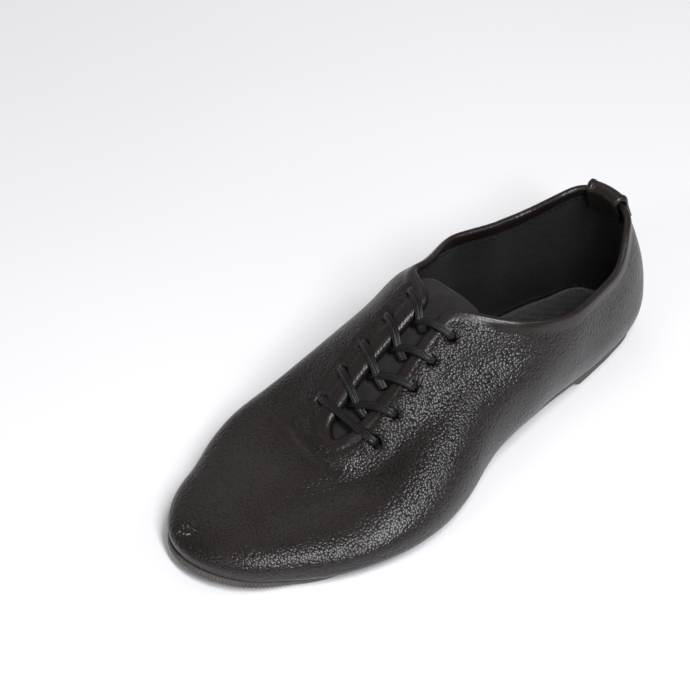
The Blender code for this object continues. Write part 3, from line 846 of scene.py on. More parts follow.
def leather(s, f, name, calm=False):
    """Drum-dyed, tumbled full-grain leather. Its domed pebbles break a broad highlight into bright
    specks, and where it is stretched over an edge the grain goes flat and the sheen becomes even.

    Pebbles are cells a grain apart, strayed by a noise of three grains. They fall off with the square of
    the distance from their middles, and the valleys between them are painted darker as shade."""
    made, tree, shader, at = blank(name)
    wander = node(tree, "ShaderNodeTexNoise", {"Vector": at, "Scale": 0.35 / s.grain})
    shifted = node(tree, "ShaderNodeVectorMath", {0: wander.outputs["Color"], 1: (0.5, 0.5, 0.5)},
                   operation="SUBTRACT")
    strayed = node(tree, "ShaderNodeVectorMath", {0: shifted.outputs[0], "Scale": 0.8 * s.grain},
                   operation="SCALE")
    moved = node(tree, "ShaderNodeVectorMath", {0: at, 1: strayed.outputs[0]})
    pebble = node(tree, "ShaderNodeTexVoronoi", {"Vector": moved.outputs[0], "Scale": 1 / s.grain})
    away = pebble.outputs["Distance"]
    dome = node(tree, "ShaderNodeMath", {0: away, 1: away}, operation="MULTIPLY").outputs[0]
    stretch = node(tree, "ShaderNodeAttribute", attribute_name="stretch").outputs["Fac"]
    depth = node(tree, "ShaderNodeMapRange", {"Value": stretch, "To Min": -1.0, "To Max": -0.12},
                 interpolation_type="SMOOTHSTEP")
    height = node(tree, "ShaderNodeMath", {0: dome, 1: depth.outputs["Result"]}, operation="MULTIPLY")
    bump = node(tree, "ShaderNodeBump",
                {"Height": height.outputs[0], "Strength": 1.0, "Distance": 0.30 * s.grain})
    open_grain = node(tree, "ShaderNodeMapRange", {"Value": stretch, "To Min": 0.9, "To Max": 0.1},
                      interpolation_type="SMOOTHSTEP")
    # Painted shade in the grain's valleys, less of it where the leather is stretched flat
    hollow = node(tree, "ShaderNodeMapRange", {"Value": dome, "From Min": 0.12, "From Max": 0.45},
                  interpolation_type="SMOOTHSTEP")
    painted_valley_shade = node(tree, "ShaderNodeMath", {0: hollow.outputs["Result"], 1: open_grain.outputs["Result"]},
                  operation="MULTIPLY")
    shade = node(tree, "ShaderNodeMix", {0: painted_valley_shade.outputs[0], 6: rgba(f.leather), 7: rgba(f.groove)},
                 data_type="RGBA")
    clouds = node(tree, "ShaderNodeTexNoise", {"Vector": at, "Scale": DYE_CLOUDS, "Detail": 4.0})
    cloud = clouds.outputs["Fac"]
    worn = node(tree, "ShaderNodeMapRange",
                {"Value": cloud, "From Min": 0.35, "From Max": 0.7, "To Min": 0.86, "To Max": 1.14},
                interpolation_type="SMOOTHSTEP")
    toned = node(tree, "ShaderNodeVectorMath", {0: shade.outputs[2], "Scale": worn.outputs["Result"]},
                 operation="SCALE")
    gloss = node(tree, "ShaderNodeMapRange",
                 {"Value": cloud, "From Min": 0.3, "From Max": 0.7, "To Min": 0.29, "To Max": 0.36},
                 interpolation_type="SMOOTHSTEP")
    colour = toned.outputs[0] if calm else scuffed(s, f, tree, at, toned.outputs[0])
    tree.links.new(colour, shader.inputs["Base Color"])
    tree.links.new(gloss.outputs["Result"], shader.inputs["Roughness"])
    tree.links.new(bump.outputs["Normal"], shader.inputs["Normal"])
    shader.inputs["IOR"].default_value = 1.47
    return made


def scuffed(s, f, tree, at, colour):
    """A few bare specks where the toe has knocked against something: the peaks of a fine noise,
    less and less of them away from one place."""
    station, offset, height = SCUFF_PLACE
    near, far = SCUFF_REACH
    centre = place(s, np.array([offset * s.ball_width, station * s.length]), height)
    away = node(tree, "ShaderNodeVectorMath", {0: at, 1: tuple(centre)}, operation="DISTANCE")
    zone = node(tree, "ShaderNodeMapRange",
                {"Value": away.outputs["Value"], "From Min": near, "From Max": far, "To Min": 1.0,
                 "To Max": 0.0},
                interpolation_type="SMOOTHSTEP")
    speck = node(tree, "ShaderNodeTexNoise", {"Vector": at, "Scale": SCUFF_SPECKS, "Detail": 2.0})
    bare = node(tree, "ShaderNodeMapRange",
                {"Value": speck.outputs["Fac"], "From Min": 0.60, "From Max": 0.70, "To Max": 0.75},
                interpolation_type="SMOOTHSTEP")
    cover = node(tree, "ShaderNodeMath", {0: zone.outputs["Result"], 1: bare.outputs["Result"]},
                 operation="MULTIPLY")
    mixed = node(tree, "ShaderNodeMix", {0: cover.outputs[0], 6: colour, 7: rgba(f.scuff)},
                 data_type="RGBA")
    return mixed.outputs[2]


def knit(s, name, colour, fuzz):
    """Warp-knitted polyester lining: rows of small loops, with painted shade darkening the tiny gaps
    between them.

    A loop is a sine along the run times a sine along the rise, with fine hair on it."""
    made, tree, shader, at = blank(name)
    plan = node(tree, "ShaderNodeUVMap", uv_map="layout")
    parts = node(tree, "ShaderNodeSeparateXYZ", {"Vector": plan.outputs["UV"]})
    turn = 2 * math.pi / s.knit
    waves = {}
    for slot, way in enumerate("XY"):
        angle = node(tree, "ShaderNodeMath", {0: parts.outputs[way], 1: turn}, operation="MULTIPLY")
        waves[slot] = node(tree, "ShaderNodeMath", {0: angle.outputs[0]}, operation="SINE").outputs[0]
    crossed = node(tree, "ShaderNodeMath", waves, operation="MULTIPLY")
    loops = node(tree, "ShaderNodeMapRange",
                 {"Value": crossed.outputs[0], "From Min": -0.6, "From Max": 0.7},
                 interpolation_type="SMOOTHSTEP").outputs["Result"]
    hair = node(tree, "ShaderNodeTexNoise", {"Vector": at, "Scale": LINING_HAIR, "Detail": 3.0})
    fine = node(tree, "ShaderNodeMath", {0: hair.outputs["Fac"], 1: 0.5}, operation="MULTIPLY")
    height = node(tree, "ShaderNodeMath", {0: loops, 1: fine.outputs[0]}, operation="ADD")
    bump = node(tree, "ShaderNodeBump",
                {"Height": height.outputs[0], "Strength": 0.8, "Distance": 0.25 * s.knit})
    # Painted shade: the low gaps between the loops take a darker copy of the colour
    dark = tuple(0.3 * c for c in colour)
    shade = node(tree, "ShaderNodeMix", {0: loops, 6: rgba(dark), 7: rgba(colour)}, data_type="RGBA")
    tree.links.new(shade.outputs[2], shader.inputs["Base Color"])
    tree.links.new(bump.outputs["Normal"], shader.inputs["Normal"])
    shader.inputs["Specular IOR Level"].default_value = 0.12
    shader.inputs["Roughness"].default_value = 0.82
    shader.inputs["Sheen Weight"].default_value = fuzz
    shader.inputs["Sheen Roughness"].default_value = 0.5
    return made


def suede(f, name):
    """Split suede, buffed: a short nap that lies in soft patches and scatters light evenly."""
    made, tree, shader, at = blank(name)
    nap = node(tree, "ShaderNodeTexNoise",
               {"Vector": at, "Scale": NAP_HAIR, "Detail": 6.0, "Roughness": 0.7})
    patch = node(tree, "ShaderNodeTexNoise", {"Vector": at, "Scale": NAP_PATCHES, "Detail": 3.0})
    bump = node(tree, "ShaderNodeBump",
                {"Height": nap.outputs["Fac"], "Strength": 0.75, "Distance": 0.0004})
    tone = node(tree, "ShaderNodeMapRange",
                {"Value": patch.outputs["Fac"], "From Min": 0.35, "From Max": 0.65, "To Min": 0.72,
                 "To Max": 1.12},
                interpolation_type="SMOOTHSTEP")
    toned = node(tree, "ShaderNodeVectorMath", {0: tuple(f.suede), "Scale": tone.outputs["Result"]},
                 operation="SCALE")
    tree.links.new(toned.outputs[0], shader.inputs["Base Color"])
    tree.links.new(bump.outputs["Normal"], shader.inputs["Normal"])
    shader.inputs["Roughness"].default_value = 0.95
    shader.inputs["Sheen Weight"].default_value = 0.12
    shader.inputs["Specular IOR Level"].default_value = 0.2
    shader.inputs["Sheen Roughness"].default_value = 0.6
    return made


def rubber(f, name):
    """Compression-moulded black rubber: dull, slightly grey from bloom, with a fine pitted skin."""
    made, tree, shader, at = blank(name)
    pits = node(tree, "ShaderNodeTexNoise", {"Vector": at, "Scale": RUBBER_PITS, "Detail": 3.0})
    bloom = node(tree, "ShaderNodeTexNoise", {"Vector": at, "Scale": RUBBER_BLOOM, "Detail": 5.0})
    bump = node(tree, "ShaderNodeBump",
                {"Height": pits.outputs["Fac"], "Strength": 0.4, "Distance": 0.0002})
    tone = node(tree, "ShaderNodeMapRange",
                {"Value": bloom.outputs["Fac"], "From Min": 0.35, "From Max": 0.7, "To Min": 0.75,
                 "To Max": 1.3},
                interpolation_type="SMOOTHSTEP")
    toned = node(tree, "ShaderNodeVectorMath", {0: tuple(f.rubber), "Scale": tone.outputs["Result"]},
                 operation="SCALE")
    dull = node(tree, "ShaderNodeMapRange",
                {"Value": bloom.outputs["Fac"], "From Min": 0.3, "From Max": 0.7, "To Min": 0.58,
                 "To Max": 0.74},
                interpolation_type="SMOOTHSTEP")
    tree.links.new(toned.outputs[0], shader.inputs["Base Color"])
    tree.links.new(bump.outputs["Normal"], shader.inputs["Normal"])
    tree.links.new(dull.outputs["Result"], shader.inputs["Roughness"])
    return made


def cord(s, f, name):
    """Braided polyester cord: bundles of filament cross on the slant, brighter than the grooves between
    them, which are painted darker as shade.

    A bundle is the rib's cosine round the cord, deepened by a sine that winds along it."""
    made, tree, shader, _ = blank(name)
    plan = node(tree, "ShaderNodeUVMap", uv_map="layout")
    parts = node(tree, "ShaderNodeSeparateXYZ", {"Vector": plan.outputs["UV"]})
    turn = node(tree, "ShaderNodeMath", {0: parts.outputs["Y"], 1: 2 * LACE_RIBS / s.lace},
                operation="MULTIPLY").outputs[0]
    wave = node(tree, "ShaderNodeMath", {0: turn}, operation="COSINE")
    rib = node(tree, "ShaderNodeMapRange", {"Value": wave.outputs[0], "From Min": -0.7, "From Max": 0.5},
               interpolation_type="SMOOTHSTEP")
    pitch = 2 * math.pi / (0.30 * s.lace)
    run = node(tree, "ShaderNodeMath", {0: parts.outputs["X"], 1: pitch}, operation="MULTIPLY")
    slant = node(tree, "ShaderNodeMath", {0: run.outputs[0], 1: turn}, operation="ADD")
    winding = node(tree, "ShaderNodeMath", {0: slant.outputs[0]}, operation="SINE")
    twist = node(tree, "ShaderNodeMapRange",
                 {"Value": winding.outputs[0], "From Min": -0.8, "From Max": 0.8, "To Min": 0.6,
                  "To Max": 1.0},
                 interpolation_type="SMOOTHSTEP")
    bundles = node(tree, "ShaderNodeMath", {0: rib.outputs["Result"], 1: twist.outputs["Result"]},
                   operation="MULTIPLY").outputs[0]
    bump = node(tree, "ShaderNodeBump", {"Height": bundles, "Strength": 0.7, "Distance": 0.06 * s.lace})
    # Painted shade: the grooves between the bundles take a darker copy of the cord's colour
    dark = tuple(0.15 * c for c in f.cord)
    shade = node(tree, "ShaderNodeMix", {0: bundles, 6: rgba(dark), 7: rgba(f.cord)}, data_type="RGBA")
    tree.links.new(shade.outputs[2], shader.inputs["Base Color"])
    tree.links.new(bump.outputs["Normal"], shader.inputs["Normal"])
    shader.inputs["Roughness"].default_value = 0.32
    return made


def thread(f, name):
    """Waxed sewing thread: nearly black, with a soft shine on its round back."""
    made, tree, shader, at = blank(name)
    twist = node(tree, "ShaderNodeTexNoise", {"Vector": at, "Scale": THREAD_TWIST, "Detail": 2.0})
    bump = node(tree, "ShaderNodeBump",
                {"Height": twist.outputs["Fac"], "Strength": 0.5, "Distance": 0.0001})
    tree.links.new(bump.outputs["Normal"], shader.inputs["Normal"])
    shader.inputs["Base Color"].default_value = rgba(f.thread)
    shader.inputs["Roughness"].default_value = 0.5
    return made


def paper(f, name):
    """Matt white paper sweep: even, with barely seen broad tones."""
    made, tree, shader, at = blank(name)
    mottle = node(tree, "ShaderNodeTexNoise", {"Vector": at, "Scale": PAPER_TONES})
    tone = node(tree, "ShaderNodeMapRange",
                {"Value": mottle.outputs["Fac"], "From Min": 0.3, "From Max": 0.7, "To Min": 0.97},
                interpolation_type="SMOOTHSTEP")
    toned = node(tree, "ShaderNodeVectorMath", {0: tuple(f.floor), "Scale": tone.outputs["Result"]},
                 operation="SCALE")
    tree.links.new(toned.outputs[0], shader.inputs["Base Color"])
    shader.inputs["Roughness"].default_value = 0.9
    return made


# The upper

def respaced(grid, start):
    """Columns walked again from the sole up: even steps, then finer ones near the top edge.
    Each new point lies at its own distance below the edge, found on the old column."""
    turned = grid[:, ::-1]
    fallen = walk(turned)
    near = np.array(NEAR_ROWS)
    far = np.linspace(0, 1, FAR_ROWS + 1)[1:]
    total = fallen[:, -1:]
    lowest_near = start[:, None] + near[-1]
    wanted = np.concatenate([start[:, None] + near, lowest_near + (total - lowest_near) * far], axis=1)
    wanted = np.minimum(wanted, total)
    after = (fallen[:, None, :] <= wanted[:, :, None]).sum(axis=2)
    i = np.clip(after - 1, 0, fallen.shape[1] - 2)
    rows = np.arange(len(grid))[:, None]
    low, high = fallen[rows, i], fallen[rows, i + 1]
    share = np.clip((wanted - low) / np.maximum(high - low, 1e-12), 0, 1)[..., None]
    walked = turned[rows, i] * (1 - share) + turned[rows, i + 1] * share
    return walked[:, ::-1]


def nearest(points, line):
    """Distance to a line's points and the number of the nearest one, for every point of a grid."""
    flat = points.reshape(-1, 3)
    away = np.empty(len(flat))
    which = np.empty(len(flat), dtype=int)
    for part in np.array_split(np.arange(len(flat)), 12):
        gaps = np.linalg.norm(flat[part, None] - line[None], axis=2)
        which[part] = gaps.argmin(axis=1)
        away[part] = gaps.min(axis=1)
    return away.reshape(points.shape[:-1]), which.reshape(points.shape[:-1])


def crease_line(s, knots, count=26):
    """Skin points along a crease, through three knots of station and share of the way round."""
    outline = plan_outline(s)
    line = through(knots, count)
    at, around = line[:, 0], line[:, 1]
    sides = [side(s, outline, sign, at) for sign in (1, -1)]
    foot = np.where((around >= 0)[:, None], sides[0], sides[1])
    columns = as_columns(s, foot, spine_points(s, at))
    angle = (1 - np.abs(around)) * math.pi / 2
    return skin_point(s, columns, angle, np.full_like(angle, math.pi / 2))


def lace_hole(s, station, sign):
    """Station and offset of a lace hole's middle."""
    return station, sign * (throat_half(s, station) + s.setback)


def distance_from(s, points, station, offset):
    """Distance of points from one place on the skin over the instep."""
    return np.linalg.norm(points - above_instep(s, [station], [offset], [0.0])[0], axis=-1)


def relief(s, points, edge):
    """Height over the plain skin: creases, each a soft bell across its line; a dimple with a raised
    lip round each lace hole; a pucker between two holes; and slow unevenness from crossed waves. It
    dies out at the turned edge and at the feather."""
    height = np.zeros(edge.shape)
    for *knots, width, depth in CREASES:
        away = nearest(points, crease_line(s, knots))[0]
        height += depth * s.crease_height * np.exp(-(away / (width * s.crease_width)) ** 2)
    for pair in EYELETS:
        for station, sign in zip(pair, (1, -1)):
            away = distance_from(s, points, *lace_hole(s, station, sign))
            height -= DIMPLE * np.exp(-(away / (0.70 * s.eyelet)) ** 2)
            height += DIMPLE_LIP * np.exp(-((away - 1.35 * s.eyelet) / (0.6 * s.eyelet)) ** 2)
    for pair, next_pair in zip(EYELETS, EYELETS[1:]):
        for before, after, sign in zip(pair, next_pair, (1, -1)):
            at = (before + after) / 2
            away = distance_from(s, points, at, sign * (throat_half(s, at) + 0.5 * s.setback))
            height += PUCKER * np.exp(-(away / (1.1 * s.eyelet)) ** 2)
    x, y, z = np.moveaxis(points / s.ball_width, -1, 0)
    for by_x, by_y, by_z, start in WAVES:
        height += UNEVEN * np.sin(by_x * x + by_y * y + by_z * z + start)
    low = grow(points[..., 2], feather(s, 0.6), FEATHER_FADE)
    top = grow(edge, 0, EDGE_FADE * s.roll)
    return height * low * top ** 2 * (3 - 2 * top)


def upper_form(s):
    """Outer and inner faces of the upper's wall, with the rolled edge between them.

    The ring is the open edge's columns. Each one's roll is half a circle about the middle of the
    wall: R (cos t along the normal, sin t into the opening). Near it both faces swell by what R
    has more than half the wall, which dies out with a smooth step over a few radii, less a bell
    that is the groove beside the roll."""
    columns = last_columns(s)
    at = columns.station
    first = TOE_TURN
    sides = len(side_stations(s))
    lateral = np.arange(first, first + sides)
    medial = np.arange(first + sides + HEEL_TURN - 1, first + 2 * sides + HEEL_TURN - 1)[::-1]
    plain_grid = skin_grid(s, columns, BELOW_ROWS, ABOVE_ROWS)
    easing = np.clip((THROAT_END - at) * s.length / (s.throat_width / 2), 0, 1)
    grid = respaced(plain_grid, 0.9 * s.roll * easing)
    normals = normals_of(grid, True)
    closed = at[lateral] >= THROAT_END - 1e-9
    met = unit(normals[lateral[closed], -1] + normals[medial[closed], -1])
    normals[lateral[closed], -1] = met
    normals[medial[closed], -1] = met
    around = np.concatenate([np.arange(first + 1), np.arange(medial[0], len(grid))])
    normals[around, -1] = unit(normals[around, -1].sum(axis=0))
    ring = np.arange(lateral[closed][-1], medial[closed][-1])
    line = grid[ring, -1]
    out = normals[ring, -1]
    ahead = unit(np.roll(line, -1, axis=0) - np.roll(line, 1, axis=0))
    open_way = unit(np.cross(out, ahead))
    on_medial = np.arange(len(ring)) > len(ring) / 2
    throat = grow(at[ring], *ROLL_GROWS)
    radius = eased_ring(s.roll * (1 + ROLL_SHARE * throat * on_medial))
    edge, which = nearest(grid, line)
    local = radius[which]
    fall = np.clip(1 - edge / (SWELL_END * local), 0, 1)
    swell = (local - s.wall / 2) * fall ** 2 * (3 - 2 * fall)
    across_groove = (edge - GROOVE_AT * local) / (GROOVE_WIDTH * local)
    swell -= EDGE_GROOVE * throat[which] * np.exp(-across_groove ** 2)
    height = relief(s, grid, edge)
    outer = grid + normals * (height + swell)[..., None]
    inner = grid + normals * (height - s.wall - swell)[..., None]
    turn = np.linspace(0, math.pi, ROLL_STEPS + 2)[1:-1, None]
    centre = line - out * s.wall / 2
    bend = out[:, None] * np.cos(turn) + open_way[:, None] * np.sin(turn)
    roll = centre[:, None] + radius[:, None, None] * bend
    return outer, inner, roll, ring, edge, columns


def hole_cutter(s, station, sign, number):
    """Round punch through the wall at a lace hole."""
    at, offset = lace_hole(s, station, sign)
    low, high = above_instep(s, [at] * 2, [offset] * 2, [-3 * s.wall, 2 * s.wall])
    along = unit(high - low)
    side_way = unit(np.cross(along, [1.0, 0.0, 0.0]))
    other = np.cross(along, side_way)
    turn = np.linspace(0, 2 * math.pi, 20, endpoint=False)[:, None]
    circle = s.eyelet / 2 * (np.cos(turn) * side_way + np.sin(turn) * other)
    grid = np.stack([low + 0 * circle, low + circle, high + circle, high + 0 * circle])
    punch = surface(f"punch_{number}_{'lateral' if sign > 0 else 'medial'}", grid,
                    grid_faces(4, 20, False, True), [], weld=True)
    outward(punch)
    return punch


def make_upper(s, f):
    """The dressed upper: one closed wall of leather outside, round the turned edge and a little way
    down inside, and lining below that, with punched lace holes."""
    outer, inner, roll, ring, edge, columns = upper_form(s)
    count, rows = edge.shape
    skin = grid_faces(count, rows, True)
    lining = skin[:, ::-1] + count * rows
    i = np.arange(count)
    j = (i + 1) % count
    bottom = np.stack([j * rows, i * rows, (i + count) * rows, (j + count) * rows], axis=-1)
    edge_row = ring[:, None] * rows + rows - 1
    steps = 2 * count * rows + np.arange(roll[..., 0].size).reshape(roll.shape[:2])
    across = np.concatenate([edge_row, steps, edge_row + count * rows], axis=1)
    after = np.roll(across, -1, axis=0)
    turned = np.stack([across[:, :-1], after[:, :-1], after[:, 1:], across[:, 1:]], axis=-1)
    faces = np.concatenate([skin, lining, bottom, turned.reshape(-1, 4)])
    points = np.concatenate([part.reshape(-1, 3) for part in (outer, inner, roll)])
    plan = spread(walk(outer[:, RUN_ROW]), walk(outer).mean(axis=0)).reshape(-1, 2)
    layout = np.concatenate([plan, plan, np.zeros((roll[..., 0].size, 2))])
    vamp = VAMP_STRETCH * grow(columns.station, *VAMP_STATION)[:, None] * grow(outer[..., 2], *VAMP_HEIGHT)
    pulled = np.maximum(1 - grow(edge, *EDGE_STRETCH), vamp).ravel()
    stretch = np.concatenate([pulled, pulled, np.full(roll[..., 0].size, ROLL_STRETCH)])
    upper = surface("upper_leather", points, faces,
                    [leather(s, f, "tumbled_black_leather"), knit(s, "knitted_lining", f.knit, 0.1)],
                    layout=layout, marks={"stretch": stretch})
    inside = np.zeros(len(faces), dtype=np.int32)
    inside[len(skin):2 * len(skin)] = edge[:, :-1].ravel() > LINING_START
    upper.data.polygons.foreach_set("material_index", inside)
    welded(upper)
    outward(upper)
    punches = []
    for number, pair in enumerate(EYELETS, start=1):
        for station, sign in zip(pair, (1, -1)):
            punch = hole_cutter(s, station, sign, number)
            step = upper.modifiers.new(punch.name, "BOOLEAN")
            step.operation = "DIFFERENCE"
            step.solver = "MANIFOLD"
            step.object = punch
            punches.append(punch)
    settle(upper)
    for punch in punches:
        bpy.data.objects.remove(punch)
    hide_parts("upper")
    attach(upper, "root")


def make_binding(s, f):
    """Narrow tape with its stitches over the seam between the turned leather and the lining: an oval
    carried along one row of the wall's inner face."""
    _, inner, _, ring, edge, columns = upper_form(s)
    collar = ring[columns.station[ring] < TAPE_END]
    row = edge.shape[1] - LINING_ROW
    line = inner[collar, row]
    down = unit(inner[collar, row - 2] - inner[collar, row + 2])
    into = unit(np.cross(down, np.gradient(line, axis=0)))
    middle = np.array([0.0, line[:, 1].mean(), 0.0])
    facing = ((middle - line) * into)[:, :2].sum(axis=1, keepdims=True)
    into = into * np.where(facing > 0, 1, -1)
    turn = np.linspace(0, 2 * math.pi, 12, endpoint=False)
    profile = np.stack([np.cos(turn), np.sin(turn)], axis=1) * TAPE_HALF
    tape = carried(line + into * TAPE_LIFT, into, profile, rounded_ends(len(line), 0.01))
    binding = surface("collar_binding", tape, grid_faces(*tape.shape[:2], False, True),
                      [knit(s, "binding_tape", f.binding, 0.1)], weld=True,
                      layout=spread(walk(line), turn * s.knit))
    outward(binding)
    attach(binding, "root")
    stitches(f, "collar_stitches", line + into * TAPE_STITCH_LIFT, into, *COLLAR_STITCH)


def welded(target):
    """Merge the points that two neighbouring columns or rows share."""
    work = bmesh.new()
    work.from_mesh(target.data)
    bmesh.ops.remove_doubles(work, verts=work.verts, dist=2e-6)
    bmesh.ops.dissolve_degenerate(work, edges=work.edges, dist=1e-6)
    work.to_mesh(target.data)
    work.free()


def outward(target):
    """Turn a closed mesh's faces out."""
    work = bmesh.new()
    work.from_mesh(target.data)
    bmesh.ops.recalc_face_normals(work, faces=work.faces)
    work.to_mesh(target.data)
    work.free()


def stitches(f, name, line, normal, pitch, length, radius):
    """Short rounded bars along a line: each is a six-sided tube of five rings whose ends close in
    and whose middle arches up by half a radius."""
    walked = walk(line)
    starts = np.arange(0.5 * pitch, walked[-1] - length, pitch)
    share = np.linspace(0, 1, 5)
    at = starts[:, None] + share[None] * length
    path = at_distance(at, walked, line)
    lift = at_distance(at, walked, normal)
    ahead = unit(np.gradient(path, axis=1))
    across = unit(np.cross(ahead, lift))
    upward = np.cross(across, ahead)
    turn = np.linspace(0, 2 * math.pi, 6, endpoint=False)[:, None]
    ring = np.cos(turn) * across[:, :, None] + np.sin(turn) * upward[:, :, None]
    thick = radius * np.array([0, 0.85, 1, 0.85, 0])[:, None, None]
    arch = lift * (radius * 0.5 * np.sin(math.pi * share))[:, None]
    points = (path + arch)[:, :, None] + ring * thick
    faces = grid_faces(5, 6, False, True)
    every = faces[None] + (np.arange(len(starts)) * 30)[:, None, None]
    made = surface(name, points, every.reshape(-1, 4), [thread(f, f"{name}_thread")], weld=True)
    outward(made)
    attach(made, "root")


def make_bar_tack(s, f):
    """Row of stitches ahead of the throat, bowed toward the toe, that holds the tongue's front. It
    lies on the skin with its relief, a little sunk."""
    line = through(TACK, 60)
    at, offset = line[:, 0], line[:, 1] * s.ball_width
    skin = above_instep(s, at, offset, np.zeros(len(line)))
    normal = unit(above_instep(s, at, offset, np.full(len(line), 0.001)) - skin)
    far_from_edge = np.full((1, len(line)), s.wall * 10)
    height = relief(s, skin[None], far_from_edge)[0]
    seat = skin + normal * (height - TACK_SUNK)[:, None]
    stitches(f, "tongue_bar_stitches", seat, normal, *TACK_STITCH)


# Below and inside

def ringed_plate(s, columns, levels):
    """Grid of rings, each at a reach from the spine and a height."""
    away = outward_ways(columns)
    rings = [place(s, columns.spine + away * reach[:, None], height) for reach, height in levels]
    return np.stack(rings, axis=1)


def make_outsole(s, f):
    """Moulded sole: rings from its bottom's middle over a stepped rim to its top's middle.

    At the toe the bottom edge is rounded by a rocker, and the rim climbs the leather as a lip that
    follows the skin's quarter superellipse. The teeth are the size of a sine of the way walked
    round the rim, and have finer columns for that."""
    columns = last_columns(s, 4 * TOE_TURN)
    at = columns.station
    edge = columns.reach - s.side_tuck * curve(SIDES, 3, at)
    top = sole_top(s, at)
    bottom = grow(at, HEEL_BREAST, BREAST_RUN) * (top - s.sole)
    step = s.rim_step
    walked = walk(columns.spine + outward_ways(columns) * edge[:, None])
    tooth = TOOTH_HEIGHT * np.abs(np.sin(walked * math.pi / s.tooth)) * grow(at, *TEETH_GROW)
    rocker = step * ROCKER_STEPS * grow(at, *LIP_GROWS)
    lift = s.lip * grow(at, *LIP_GROWS)
    turn = curve(SIDES, 4, at)
    drop = widest(s, at) - feather(s, at)
    bend = np.arcsin(np.clip((drop - lift) / drop, 0, 1) ** (turn / 2))
    skin = columns.reach - s.side_tuck * curve(SIDES, 2, at) * (1 - np.cos(bend) ** (2 / turn))
    lip = lift > 0
    edge_top = np.where(lip, np.maximum(edge, skin + RIM_SEAT), edge)
    seat = np.where(lip, skin - RIM_SEAT, edge - step * 1.1)
    shares = np.array([0.0, 0.25, 0.5, 0.75, 0.93])
    levels = [(share * (edge - 2 * step), bottom) for share in shares]
    levels += [
        (edge - step - rocker, bottom),
        (edge - 0.3 * step - 0.5 * rocker, bottom + 0.3 * step + 0.5 * rocker),
        (edge + tooth, bottom + step + rocker),
        (edge + tooth, bottom + 0.55 * (top - bottom)),
        (0.5 * (edge + edge_top) + tooth, top - 1.3 * step + 0.5 * lift),
        (edge_top - 0.2 * step + tooth * 0.5, top - 0.5 * step + lift),
        (0.5 * (edge_top + seat), top - 0.2 * step + lift),
        (seat, top + 0.8 * lift),
        (seat - 0.2 * step, top),
    ]
    levels += [(share * (edge - 2 * step), top) for share in shares[::-1]]
    grid = ringed_plate(s, columns, levels)
    sole = surface("outsole_rubber", grid, grid_faces(*grid.shape[:2], True),
                   [rubber(f, "moulded_black_rubber")], weld=True)
    outward(sole)
    sole.data.set_sharp_from_angle(angle=math.radians(38))
    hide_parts("outsole")
    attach(sole, "root")


def make_insole(s, f):
    """Cover over the board: rings from its bottom's middle over a soft lip where it meets the wall,
    to a top that rises a little toward its middle with the fourth power."""
    columns = last_columns(s)
    at = columns.station
    inner = columns.reach - s.side_tuck * curve(SIDES, 2, at) - s.wall - 2 * s.clearance
    base = feather(s, at)
    shares = np.array([0.0, 0.2, 0.4, 0.6, 0.8, 0.93])
    levels = [(share * inner, base) for share in shares]
    levels += [(inner, base), (inner + COVER_BULGE, base + 0.5 * s.insole), (inner, base + s.insole)]
    levels += [(share * inner, base + s.insole + COVER_CROWN * (1 - share ** 4)) for share in shares[::-1]]
    grid = ringed_plate(s, columns, levels)
    cover = surface("insole_cover", grid, grid_faces(*grid.shape[:2], True),
                    [knit(s, "woven_insole_cloth", f.insole, 0.2)], weld=True,
                    layout=grid[..., :2].copy())
    outward(cover)
    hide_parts("insole")
    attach(cover, "root")


def make_tongue(s, f):
    """Suede sheet under the flaps: close to the vamp at its front, lower behind, softly waved. Each
    end narrows by a quarter circle."""
    stations = np.linspace(TONGUE_FRONT, TONGUE_TOP, 120)
    at, share = np.meshgrid(stations, np.linspace(-1, 1, 60), indexing="ij")
    from_front = (TONGUE_FRONT - at) / (TONGUE_FRONT - TONGUE_TOP)
    from_end = grow(np.minimum(from_front, 1 - from_front), 0, 0.10)
    full = TONGUE_END + (1 - TONGUE_END) * np.sqrt(from_end * (2 - from_end))
    half = s.tongue_width / 2 * full
    sink = TONGUE_SINK * grow(from_front, 0, 0.15)
    wave = TONGUE_WAVE * np.sin(at * 90) * np.cos(share * 4) * grow(from_front, 0, 0.2)
    depth = s.wall + 2 * s.clearance + sink - wave
    grid = above_instep(s, at, share * half, -depth)
    sheet = surface("tongue_suede", grid, grid_faces(*grid.shape[:2], False)[:, ::-1],
                    [suede(f, "buffed_suede")])
    body = sheet.modifiers.new("body", "SOLIDIFY")
    body.thickness = s.tongue
    body.offset = -1
    settle(sheet)
    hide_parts("tongue")
    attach(sheet, "root")


